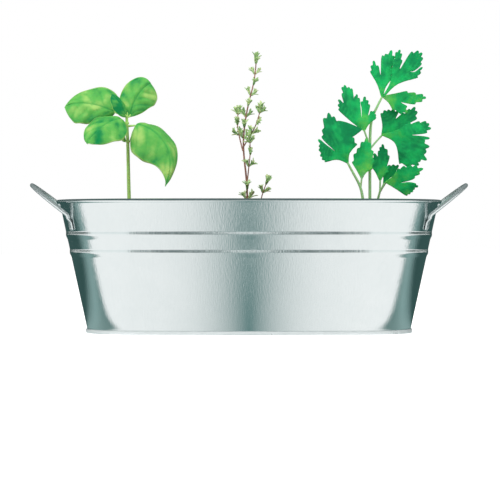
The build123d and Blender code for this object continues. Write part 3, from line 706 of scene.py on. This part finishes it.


# Basil's rib colour is darker than its blade: painted shade in its vein grooves.
basil_leaf = leaf_finish(
    "basil_leaf", dark=(0.003, 0.22, 0.06, 1), middle=(0.1, 0.4, 0.075, 1), pale=(0.32, 0.55, 0.14, 1),
    rib=(0.012, 0.24, 0.05, 1), gloss=0.36)
basil_stalk = leaf_finish(
    "basil_stem", dark=(0.4, 0.66, 0.18, 1), middle=(0.5, 0.74, 0.28, 1), pale=(0.58, 0.78, 0.34, 1),
    rib=(0.48, 0.7, 0.28, 1), gloss=0.45)
bm = leaf_mesh()
add_stalk(bm, herb_line(BASIL_X, BASIL_STEM), *BASIL_STEM_RADII)
for point in BASIL_STEM[3:5]:
    joint = Matrix.Translation(herb_place(BASIL_X, point)) @ Matrix.Diagonal((1, 1, 0.75, 1))
    bmesh.ops.create_uvsphere(bm, u_segments=16, v_segments=10, radius=BASIL_JOINT, matrix=joint)
finished("basil_stem_green", bm, basil_stalk, "basil_stem", "basil_stem")
for name, (node_height, rib, *shape) in BASIL_LEAVES.items():
    bm = leaf_mesh()
    rib = herb_line(BASIL_X, rib)
    basil_blade(bm, rib, *shape)
    finished(f"basil_{name}_blade", bm, basil_leaf, "basil_leaf", f"basil_{name}_leaf", sheet=BASIL_BLADE)
    bm = leaf_mesh()
    node = herb_place(BASIL_X, (*BASIL_NODE, node_height))
    stalk = [node, node.lerp(rib[0], 0.6), rib[0], rib[0].lerp(rib[1], 0.25)]
    add_stalk(bm, stalk, *BASIL_STALK_RADII)
    finished(f"basil_{name}_stalk", bm, basil_stalk, "basil_stem")
bm = leaf_mesh()
axil_x, _, axil_height = BASIL_STEM[3]
for side in (-1, 1):
    rib = [(axil_x + side * out, -0.3 * step, axil_height + 2.1 * step)
           for step, out in enumerate(AXIL_REACH)]
    basil_blade(bm, herb_line(BASIL_X, rib), halves=((2.1, 0.85), (2.1, 0.85)),
                facing=(-0.7 * side, -0.7, 0.2), folds=(0.3, 0.3), tone=0.3, veins=3, across=8, rows=12)
finished("basil_axil_blades", bm, basil_leaf, "basil_leaf", "basil_axil_leaves", sheet=AXIL_BLADE)

# Thyme: a thin woody stem, reddish brown, with three branches and a sprig beside it. Small stiff
# leaves stand in pairs up each twig, each with a tuft of younger ones in its axil.
THYME_X = -1 * mm
THYME_LEAF = 6.6 * mm
THYME_FOOT_LEAF = 8.6 * mm
THYME_SPACING = 7.5 * mm
THYME_AXIL = radians(28)
THYME_BLADE = 0.3 * mm
THYME_HALF_WIDTH, THYME_BOW, THYME_FOLD = 0.27, 0.1, 0.35
THYME_LEAN, THYME_SIZES, THYME_TONES = (15, 45), (0.7, 1), (0.15, 0.95)
TUFT_LEAVES, TUFT_TURN, TUFT_RISE = 5, radians(137.5), 0.3 * mm
TUFT_LEAN, TUFT_SIZES = (56, 82), (0.75, 1.05)
THYME_WOOD_RADII, THYME_TWIG_RADII = (0.72 * mm, 0.32 * mm), (0.45 * mm, 0.3 * mm)
WOOD_DARK, WOOD_PALE = (0.13, 0.045, 0.03, 1), (0.42, 0.22, 0.16, 1)
THYME_STEM = ((0, 0, -22), (0, 0, 0), (-0.2, 0, 24.5), (-3, 0, 46), (-2, 1, 62), (0.9, 0, 77),
              (4.1, 0, 88.5), (5.8, 0, 102), (5.6, 0, 106.6))
THYME_SPRIG = ((8, -3, -22), (8, -3, 0), (8.5, -3.2, 13), (10.8, -4, 20), (13.6, -5, 27.5))
THYME_TWIGS = {
    "left": ((-3, 0, 45), (-6.2, 4, 57), (-6.8, 7, 67), (-5.5, 8, 74)),
    "right": ((-2.9, 0, 47), (2.5, -5, 56), (6.5, -8, 63), (9, -9, 74)),
    "low": ((-0.2, 0, 24), (0.7, -3.5, 33), (2.2, -7, 46), (1.2, -9, 55)),
}


def along_line(points, reach):
    """Place and heading at a distance along a line of points."""
    for first, second in zip(points, points[1:]):
        run = second - first
        if reach <= run.length or second is points[-1]:
            return first + run.normalized() * reach, run.normalized()
        reach -= run.length


def thyme_blade(bm, foot, outwards, axis, lean, size):
    """Stiff oblong blade with a blunt end, bowed along its length and folded a little at the middle."""
    light = bm.verts.layers.float["light"]
    along = outwards * cos(lean) + axis * sin(lean)
    facing = axis * cos(lean) - outwards * sin(lean)
    # Each blade gets a random tone, paler towards its tip.
    blade_tone = random.uniform(*THYME_TONES)
    grid = bmesh.ops.create_grid(bm, x_segments=4, y_segments=6, size=1)
    for vert in grid["verts"]:
        side, s = vert.co.x, (vert.co.y + 1) / 2
        half = THYME_HALF_WIDTH * size * (s + 0.04)**0.45 * (1.02 - s)**0.38
        bow = size * THYME_BOW * sin(pi * s) + half * THYME_FOLD * side**2
        vert.co = foot + along * (size * s) + facing * bow + along.cross(facing) * (side * half)
        vert[light] = blade_tone + 0.25 * (s - 0.5)


def thyme_tuft(bm, foot, axis, count, size):
    """Rosette of upright blades round an axis, each a little higher than the one before."""
    level = axis.orthogonal().normalized()
    start = random.uniform(0, tau)
    for index in range(count):
        turn = start + TUFT_TURN * index
        outwards = level * cos(turn) + axis.cross(level) * sin(turn)
        lean = radians(random.uniform(*TUFT_LEAN))
        rise = axis * (index * TUFT_RISE)
        thyme_blade(bm, foot + rise, outwards, axis, lean, size * random.uniform(*TUFT_SIZES))


def thyme_leaves(points, bare, twig, tip, leaf):
    """At even steps along a twig a pair of leaves with a tuft in each axil, and a last tuft at the tip."""
    bm = leaf_mesh()
    points = herb_line(THYME_X, points)
    length = sum((second - first).length for first, second in zip(points, points[1:]))
    whorls = max(2, round((length - bare) / THYME_SPACING))
    for index in range(whorls):
        reach = bare + (length - bare) * (index + 0.3) / whorls
        place, run = along_line(points, reach)
        level = (Vector((1, 0, 0)) - run * run.x).normalized()
        if index % 2:
            level = run.cross(level)
        size = leaf * (1 - 0.2 * reach / length)
        for outwards in (level, -level):
            foot = place + outwards * (twig * 0.7)
            lean = radians(random.uniform(*THYME_LEAN))
            thyme_blade(bm, foot, outwards, run, lean, size * random.uniform(*THYME_SIZES))
            shoot = (run * cos(THYME_AXIL) + outwards * sin(THYME_AXIL)).normalized()
            thyme_tuft(bm, foot, shoot, TUFT_LEAVES, size * 0.9)
    thyme_tuft(bm, points[-1] - run * (0.75 * leaf), run, tip, leaf)
    return bm


random.seed(5)
thyme_leaf = leaf_finish(
    "thyme_leaf", dark=(0.14, 0.28, 0.1, 1), middle=(0.31, 0.49, 0.2, 1), pale=(0.55, 0.68, 0.35, 1),
    rib=(0.36, 0.5, 0.25, 1), gloss=0.55)
twig_wood, place = new_finish("thyme_twig", Roughness=0.75)
streaks = place.noise(900, 4, (1, 1, 0.15))
bands = place.noise(160, 2)
colour = (streaks * 0.7 + bands * 0.5 - 0.1).rise(0.2, 0.8).mix(WOOD_DARK, WOOD_PALE)
relief = streaks.bump(0.7, 0.15 * mm)
place.feed(Base_Color=colour, Normal=relief)
twigs = {"stem": (THYME_STEM, THYME_WOOD_RADII), "sprig": (THYME_SPRIG, THYME_TWIG_RADII),
         **{f"{name}_branch": (points, THYME_TWIG_RADII) for name, points in THYME_TWIGS.items()}}
for name, (points, radii) in twigs.items():
    bm = bmesh.new()
    add_stalk(bm, herb_line(THYME_X, points), *radii)
    finished(f"thyme_{name}_wood", bm, twig_wood, "thyme_twig", f"thyme_{name}")
# Each leafy length: its points, the bare part and the twig's radius in millimetres, the leaves of its
# tip, and the length of a leaf.
leafy = {
    "stem": (THYME_STEM[3:], 5, 0.6, 7, THYME_LEAF),
    "foot": (THYME_STEM[1:3], 11, 0.7, 0, THYME_FOOT_LEAF),
    "sprig": (THYME_SPRIG[2:], 3, 0.4, 6, THYME_LEAF),
    **{name: (points, 9, 0.4, 6, THYME_LEAF) for name, points in THYME_TWIGS.items()},
}
for name, (points, bare, twig, tip, leaf) in leafy.items():
    bm = thyme_leaves(points, bare * mm, twig * mm, tip, leaf)
    finished(f"thyme_{name}_blades", bm, thyme_leaf, "thyme_leaf", f"thyme_{name}_leaves", sheet=THYME_BLADE)

# Parsley: three smooth green stems that fork into thin stalks. Each stalk ends in leaflets cut into
# toothed lobes, flat and glossy, dark green with paler feet and fine veins to every tooth.
PARSLEY_X = 78.6 * mm
PARSLEY_BLADE = 0.45 * mm
PARSLEY_BEND = 62 * mm
PARSLEY_GRID = 1.15 * mm
PARSLEY_REACH = 37 * mm
PARSLEY_LAYER = 0.6 * mm
PARSLEY_FORK = 0.6 * mm
PARSLEY_VEIN, PARSLEY_GROOVE = 0.32 * mm, 0.25 * mm
PARSLEY_RIPPLES, PARSLEY_RIPPLE, PARSLEY_STIFF = 140, 1.1 * mm, 9 * mm
PARSLEY_FOOT, PARSLEY_HEEL, PARSLEY_FOOT_ANGLE, PARSLEY_PALE = 0.7 * mm, 0.8 * mm, 60, 0.42
# Each stem: its points, and its radius at the foot and at the top, in millimetres.
PARSLEY_STEMS = {
    "stem": (((0, 0, -22), (0, 0, 0), (0, 0, 48), (0.4, 0, 63), (3.2, 0, 71), (7.9, 0, 80)), 1.1, 0.7),
    "left_stem": (((-4.2, -5, -22), (-4.2, -5, 0), (-4.6, -5, 13), (-6.4, -5, 22), (-11, -6, 30),
                   (-14.8, -7, 37)), 1.1, 0.7),
    "right_stem": (((4.2, 5, -22), (4.2, 5, 0), (4.8, 4, 12), (6.8, 2, 19)), 1.1, 0.7),
    "left_stalk": (((0, 0, 47), (-1.6, -3, 52), (-4, -5, 58)), 0.6, 0.6),
    "right_stalk": (((0, 0, 46), (3.9, 3, 51), (8.4, 4, 55.5)), 0.6, 0.6),
}
PARSLEY_FORKS = {
    "left_stem": (((-6.2, -5, 21), (-6, -5.2, 24), (-5.6, -5.5, 27)),),
    "right_stem": (((6.6, 2.2, 18), (6.8, 2.6, 22), (6.9, 3, 26)),
                   ((6.6, 2.2, 18), (8, 3.6, 21), (9.6, 5, 24)),
                   ((6.6, 2.2, 18), (8.4, 0.6, 21.5), (10.4, -1, 24.5))),
}
PARSLEY_TOOTH = 0.8 * mm
PARSLEY_SLIT, SLIT_MOUTH = 0.35 * mm, 0.8
NICK_DEPTH, NICK_SLOPE = 0.975, 0.004
PARSLEY_SPREAD = 1.03
# Each leaflet: the stalk's end, its layer, heading, lean and roll in degrees, its tone, the hollow of its
# two lower edges, and its lobes. A lobe is a row of teeth, each an angle and a reach in millimetres.
PARSLEY_LEAFLETS = {
    "top_left": ((7.9, 0, 80), 0, 2, 6, -8, 0.1, (2, -4), (
        ((-25, 18), (-20, 21), (-14.5, 23.4), (-9.5, 20)),
        ((-5, 13.2), (-1, 26), (4, 27), (10, 29.6), (15, 26.6), (18, 23.5)),
        ((15, 17.5), (20.5, 20.5), (26, 14)))),
    "top_right": ((9, 0, 80.4), -2, 38, 10, 6, 0.0, (6, -9), (
        ((15.5, 24), (17, 28.4), (20, 30.2), (23.5, 28.4), (27.5, 25)),
        ((33, 20), (34, 32.5), (39, 35), (43.5, 35.6), (47.5, 33.8), (51, 31)),
        ((46.5, 22), (55, 30), (58.5, 27.5), (62, 24.5)))),
    "top_side": ((8.6, 0, 80.2), 2, 98, -10, 8, 0.4, (-3, -2), (
        ((79, 16.5), (85, 22), (88.5, 27.5), (92, 29.6), (96.5, 27.3), (102, 22.5)),
        ((105.5, 12), (112, 17.5), (121, 19.5), (130, 17), (139, 11.5)))),
    "upper_left": ((-4, -5, 58), 0, -20, 8, -10, 0.05, (-4, -2), (
        ((-52, 21), (-47, 23), (-42, 25)),
        ((-39, 20.2), (-33, 26.7), (-29.5, 30), (-26, 30.4), (-22, 28.4), (-18.5, 27)),
        ((-20, 20.2), (-16, 22), (-13.5, 22.8), (-11, 20.5)),
        ((-15, 6.5), (-7, 18), (-0.5, 21), (5, 19), (10.5, 16.6)),
        ((14, 9.6), (20, 13), (26.5, 13.6), (34, 12.5), (41, 11.2)))),
    "left": ((-14.8, -7, 37), 0, -28, 8, -14, 0.0, (9, -9), (
        ((-89, 14.6), (-83, 16.5), (-76.5, 18), (-67, 20), (-61, 21), (-54.5, 23.4)),
        ((-49.5, 8.2), (-47.5, 23), (-40.5, 25.8), (-32, 31), (-24.5, 32.5), (-20, 29.5), (-15.5, 26.3)),
        ((-2, 24.9), (22, 23.2)), ((8, 15.9), (11.5, 16.4), (24.5, 13.5)))),
    "right_upper": ((8.4, 4, 55.5), 2, 40, -8, 6, -0.05, (2, -2), (
        ((-2.5, 14), (6.5, 16), (16, 17), (25.5, 18.5), (35, 19)),
        ((41, 14), (46, 21), (48, 26), (51, 30), (57, 29.3), (63.5, 26.6), (68, 20.6)),
        ((75, 15), (78, 16), (85, 12.5)))),
    "right_lower": ((8.4, 4, 55.5), -2, 108, 12, 6, 0.1, (3, -18), (
        ((68, 19), (71.5, 24.5), (74, 28.3), (77.5, 29.6), (83, 30), (87.5, 27.5)),
        ((91.5, 17), (95, 29), (100, 26.5), (105.5, 29.7), (113, 29), (121.5, 31.2), (127, 28.5), (132, 29.3),
         (142, 26.5), (150.5, 21.3)))),
    "lower_middle": ((-5.6, -5.5, 27), 0, 3, 8, -8, 0.5, (-3, -5), (
        ((-30, 12), (-18, 16), (-8, 19), (-1, 22.5), (6, 25.5), (12, 22.5), (21, 18.5), (33, 14),
         (46, 9.5)),)),
    "lower_back": ((6.9, 3, 26), 1, 5, -4, 8, -0.05, (-2, -2), (
        ((-29, 11.5), (-18, 15), (-10.5, 17.5)),
        ((-4.5, 14.6), (-0.5, 19), (3, 21.5), (7, 23.5), (14, 20.8), (21.5, 17)),
        ((27, 10), (31, 10.5), (43, 8)))),
    "lower_side": ((9.6, 5, 24), 3, 30, -8, 10, -0.05, (0, 0), (
        ((-6, 8), (6, 10.5), (18, 12.5), (30, 14), (40, 15.5), (50, 11)),)),
    "lower_right": ((10.4, -1, 24.5), -1, 86, 8, 12, 0.35, (3, 2), (
        ((44, 12), (50, 15.5), (59, 19), (63, 21.8), (71.5, 24.3), (77, 21.7), (82, 18.3)),
        ((95, 8), (96, 19), (99.5, 20.3), (105, 18.5), (111, 18), (117, 17), (123.5, 15.9)))),
}


def polar(angle, reach):
    """A point on a flat leaflet, by its angle from the middle line in degrees and its reach."""
    return Vector((sin(radians(angle)) * reach, cos(radians(angle)) * reach, 0))


def leaflet_outline(lobes, hollows):
    """Corners round a leaflet: hollow lower edges, blunt teeth with nicks between, and cuts between lobes.

    Every lobe but the first is given with the cut before it, which runs deep where it is narrow.
    """
    first, last = lobes[0][0], lobes[-1][-1]
    bends = ((0.35, 1.8), (0.6, 1))
    corners = [polar(first[0] - PARSLEY_FOOT_ANGLE, PARSLEY_FOOT)]
    corners += [polar(first[0] + hollows[0] * more, first[1] * share) for share, more in bends]
    before = low = None
    for lobe in lobes:
        if before is not None:
            cut, *lobe = lobe
            mouth, high = (before + lobe[0][0]) / 2, SLIT_MOUTH * min(low, lobe[0][1])
            slit = degrees(PARSLEY_SLIT / high) if cut[1] < high else None
            sides = [polar(mouth - slit, high), polar(mouth + slit, high)] if slit else []
            corners += [*sides[:1], polar(*cut), *sides[1:]]
        for tooth, (angle, reach) in enumerate(lobe):
            if tooth:
                dip = (min(low, reach) * 3 + max(low, reach) * 2) / 5
                dip *= NICK_DEPTH - NICK_SLOPE * (angle - before)
                corners.append(polar((before + angle) / 2, dip))
            blunt = degrees(PARSLEY_TOOTH / reach)
            corners += [polar(angle - blunt, reach), polar(angle + blunt, reach)]
            before, low = angle, reach
    corners += [polar(last[0] + hollows[1] * more, last[1] * share) for share, more in reversed(bends)]
    return corners + [polar(last[0] + PARSLEY_FOOT_ANGLE, PARSLEY_FOOT), polar(180, PARSLEY_HEEL)]


def parsley_blade(base, heading, lean, roll, tone, hollows, lobes):
    """One leaflet, flat at first, cut into a fine grid, then veined, bowed and turned into place."""
    lobes = [[(angle - heading, reach * PARSLEY_SPREAD * mm) for angle, reach in lobe] for lobe in lobes]
    bm = leaf_mesh()
    vein, light = bm.verts.layers.float["vein"], bm.verts.layers.float["light"]
    outline = [bm.verts.new(corner) for corner in leaflet_outline(lobes, hollows)]
    bm.faces.new(outline)
    bmesh.ops.bevel(bm, geom=outline, offset=38, offset_type="PERCENT", segments=3, profile=0.5,
                    affect="VERTICES", material=-1)
    cut_in_squares(bm, PARSLEY_REACH, PARSLEY_REACH, PARSLEY_GRID)
    teeth = [tooth for index, lobe in enumerate(lobes) for tooth in lobe[min(index, 1):]]
    ribs = [polar(*tooth) for tooth in teeth]
    longest = max(rib.length for rib in ribs)
    turn = radians(heading)
    level = Vector((cos(turn), 0, -sin(turn)))
    along = Matrix.Rotation(radians(lean), 3, level) @ Vector((sin(turn), 0, cos(turn)))
    facing = Vector((0, -1, 0)) - along * -along.y
    facing = Matrix.Rotation(radians(roll), 3, along) @ facing.normalized()
    right = along.cross(facing)
    for vert in bm.verts:
        flat = vert.co.copy()
        near = min((flat - rib * min(max(flat.dot(rib) / rib.length_squared, 0), 1)).length for rib in ribs)
        on_vein = exp(-(near / PARSLEY_VEIN)**2)
        bow = sqrt(PARSLEY_BEND**2 - flat.y**2) - PARSLEY_BEND
        ripple = noise.noise(flat * PARSLEY_RIPPLES + base * 40) * PARSLEY_RIPPLE
        height = bow + ripple * min(1, flat.length / PARSLEY_STIFF) - on_vein * PARSLEY_GROOVE
        vert.co = base + right * flat.x + along * flat.y + facing * height
        vert[vein] = on_vein * 0.6
        foot = 0.7 * max(0, 1 - flat.length / (PARSLEY_PALE * longest))
        vert[light] = 0.12 + tone + foot + 0.2 * noise.noise(flat * 300) + 0.3 * noise.noise(vert.co * 90)
    return bm


parsley_leaf = leaf_finish(
    "parsley_leaf", dark=(0.002, 0.21, 0.066, 1), middle=(0.006, 0.4, 0.1, 1), pale=(0.13, 0.56, 0.08, 1),
    rib=(0.02, 0.46, 0.11, 1), gloss=0.5)
parsley_stalk = leaf_finish(
    "parsley_stem", dark=(0.3, 0.56, 0.24, 1), middle=(0.4, 0.64, 0.33, 1), pale=(0.48, 0.7, 0.4, 1),
    rib=(0.44, 0.66, 0.36, 1), gloss=0.5)
for name, (points, thick, thin) in PARSLEY_STEMS.items():
    bm = leaf_mesh()
    add_stalk(bm, herb_line(PARSLEY_X, points), thick * mm, thin * mm)
    for fork in PARSLEY_FORKS.get(name, ()):
        add_stalk(bm, herb_line(PARSLEY_X, fork), PARSLEY_FORK, PARSLEY_FORK)
    finished(f"parsley_{name}_green", bm, parsley_stalk, "parsley_stem", f"parsley_{name}")
for name, (end, layer, *shape) in PARSLEY_LEAFLETS.items():
    base = herb_place(PARSLEY_X, end) + Vector((0, layer * PARSLEY_LAYER, 0))
    bm = parsley_blade(base, *shape)
    finished(f"parsley_{name}_blade", bm, parsley_leaf, "parsley_leaf", f"parsley_{name}_leaflet",
             sheet=PARSLEY_BLADE)

# Floor and light: a plain white floor, and soft light from three boxes. Metal also mirrors a studio world
# with darker parts: a dark flag on each side ahead and a dim room behind. To glossy rays the floor glows
# with a painted reflection instead of its white: a gap between the boxes in front, the dark flags, and
# darker bands, a pool and a line behind the tub, which paint the shaded bands on the zinc wall.
WHITE = (1, 1, 1, 1)
FLOOR_SIZE, FLOOR_COLOUR, FLOOR_GLOW = 6, (0.85, 0.85, 0.85, 1), 0.6
# Painted reflection colours, which the floor shows to glossy rays only, for the zinc wall's grey core, teal
# end bands and dark lines.
PAINTED_GAP_COLOUR, GAP_NEAR, GAP_WIDTH, GAP_SOFTNESS = (0.152, 0.262, 0.257, 1), 0.189, 0.104, 1.2
FLAG_COLOUR, FLAG_START, FLAG_STOP = (0.05, 0.09, 0.09, 1), (0.03, 0.16), (0.25, 0.5)
FLAG_DISTANCE, FLAG_BLUR, FLAG_FOOT = 0.6, 0.2, (0.03, 0.06)
BACK_LINE, BACK_BEND, BACK_BEND_START = 0.041, 0.9, 0.17
BACK_BLUR, BACK_ENDS, BACK_FAR = 0.004, (0.08, 0.1), (0.015, 0.11)
PAINTED_BACK_NEAR_COLOUR, PAINTED_BACK_FAR_COLOUR = (0.27, 0.41, 0.4, 1), (0.04, 0.09, 0.085, 1)
PAINTED_POOL_COLOUR, POOL_EDGE = (0.28, 0.4, 0.39, 1), (0.09, 0.16)
PAINTED_LINE_COLOUR, LINE_EDGE, LINE_SHARE = (0.1, 0.18, 0.17, 1), (0.002, 0.03), 0.6
SKY_COLOUR, HORIZON_COLOUR = (0.6, 0.6, 0.6, 1), (0.85, 0.9, 0.9, 1)
ROOM_COLOUR, ROOM_EDGE = (0.05, 0.09, 0.085, 1), (-0.1, 0.05)
CEILING_COLOUR, CEILING_EDGE = (0.1, 0.14, 0.14, 1), (0.1, 0.3)
LIGHT_AIM = Vector((0, 0, 0.1))
# Each box: its place, its width, and its power in watts.
LIGHT_BOXES = {
    "left_box": ((-1.1, -0.6, 1.05), 1.5, 12),
    "right_box": ((1.1, -0.6, 1.05), 1.5, 9),
    "top_box": ((-0.25, -0.7, 1.5), 1.6, 13),
}


def flags(side, depth):
    """1 where the two dark flags stand, a little aside of straight ahead."""
    slant = side / (abs(depth) + 0.001)
    return slant.rise(*FLAG_START) * (1 - slant.rise(*FLAG_STOP))


def rays(tree):
    return [Value(tree).node("LightPath", out=f"Is {kind} Ray") for kind in ("Camera", "Glossy")]


def placed(name, data, place, aim):
    """Puts a lamp or the camera at a place and turns it to an aim."""
    holder = bpy.data.objects.new(name, data)
    holder.location = place
    holder.rotation_euler = (aim - Vector(place)).to_track_quat("-Z", "Y").to_euler()
    bpy.context.scene.collection.objects.link(holder)
    return holder


floor_material = bpy.data.materials.new("floor")
floor_material.use_nodes = True
tree = floor_material.node_tree
ray, glossy = rays(tree)
place = Value(tree).node("TexCoord", out="Object")
side, depth = abs(place.axis("X")), place.axis("Y")
# Painted reflection: to glossy rays only, the floor glows in a pattern of these colours instead of its white.
gap = side / ((abs(depth) + GAP_NEAR) * GAP_WIDTH)
gap = 1 - gap.maths("EXPONENT", gap.maths("POWER", gap, GAP_SOFTNESS) * -1)
flag = (1 - (depth + FLAG_DISTANCE).rise(-FLAG_BLUR, FLAG_BLUR)) * flags(side, depth)
painted_front_reflection = flag.mix(gap.mix(PAINTED_GAP_COLOUR, WHITE), FLAG_COLOUR)
outside = side.maths("MAXIMUM", side - BACK_BEND_START, 0)
beyond = depth + BACK_LINE - outside * outside * BACK_BEND
behind = beyond.rise(-BACK_BLUR, BACK_BLUR) * side.rise(*BACK_ENDS)
far = beyond.rise(*BACK_FAR)
pool = 1 - side.rise(*POOL_EDGE)
line = 1 - beyond.rise(*LINE_EDGE)
painted_back_reflection = far.mix(PAINTED_BACK_NEAR_COLOUR, PAINTED_BACK_FAR_COLOUR)
painted_back_reflection = (pool * (1 - far)).mix(painted_back_reflection, PAINTED_POOL_COLOUR)
painted_back_reflection = (line * LINE_SHARE).mix(painted_back_reflection, PAINTED_LINE_COLOUR)
painted_reflection_colour = behind.mix(painted_front_reflection, painted_back_reflection)
painted_reflection = painted_reflection_colour.node("Emission", {"Color": painted_reflection_colour, "Strength": 1.0})
diffuse = ray.node("BsdfDiffuse", {"Color": FLOOR_COLOUR})
glow = ray.node("Emission", {"Color": WHITE, "Strength": FLOOR_GLOW})
seen = ray.node("AddShader", {0: diffuse, 1: glow})
plain = ray.node("MixShader", {0: ray, 1: diffuse, 2: seen})
shown = ray.node("MixShader", {0: glossy, 1: plain, 2: painted_reflection})
tree.links.new(shown.socket, tree.nodes["Material Output"].inputs["Surface"])
bm = bmesh.new()
bmesh.ops.create_grid(bm, x_segments=1, y_segments=1, size=FLOOR_SIZE)
floor = shown_mesh("floor", bm, floor_material)

world = bpy.data.worlds.new("studio")
bpy.context.scene.world = world
world.use_nodes = True
tree = world.node_tree
ray, glossy = rays(tree)
heading = Value(tree).node("TexCoord", out="Generated")
ahead, up = heading.axis("Y"), heading.axis("Z")
flag = flags(abs(heading.axis("X")), ahead) * (1 - up.rise(*FLAG_FOOT))
low = flag.mix(HORIZON_COLOUR, FLAG_COLOUR)
low = ahead.rise(*ROOM_EDGE).mix(low, ROOM_COLOUR)
studio = up.rise(*CEILING_EDGE).mix(low, CEILING_COLOUR)
colour = ray.mix(glossy.mix(SKY_COLOUR, studio), WHITE)
lit = colour.node("Background", {"Color": colour, "Strength": 1.0})
tree.links.new(lit.socket, tree.nodes["World Output"].inputs["Surface"])

for name, (place, size, power) in LIGHT_BOXES.items():
    lamp = bpy.data.lights.new(name, "AREA")
    lamp.energy = power
    lamp.size = size
    placed(name, lamp, place, LIGHT_AIM).visible_glossy = False

# Camera: level with the tub's upper bead and square to its long side. It stands well back with a
# long lens, so the tub's sides show almost without perspective.
CAMERA_PLACE, CAMERA_AIM = (0, -1.4, 0.062), Vector((0.00065, 0, 0.0535))
CAMERA_LENS = 155

lens = bpy.data.cameras.new("camera")
lens.lens = CAMERA_LENS
bpy.context.scene.camera = placed("camera", lens, CAMERA_PLACE, CAMERA_AIM)
bpy.context.scene.view_settings.view_transform = "Standard"
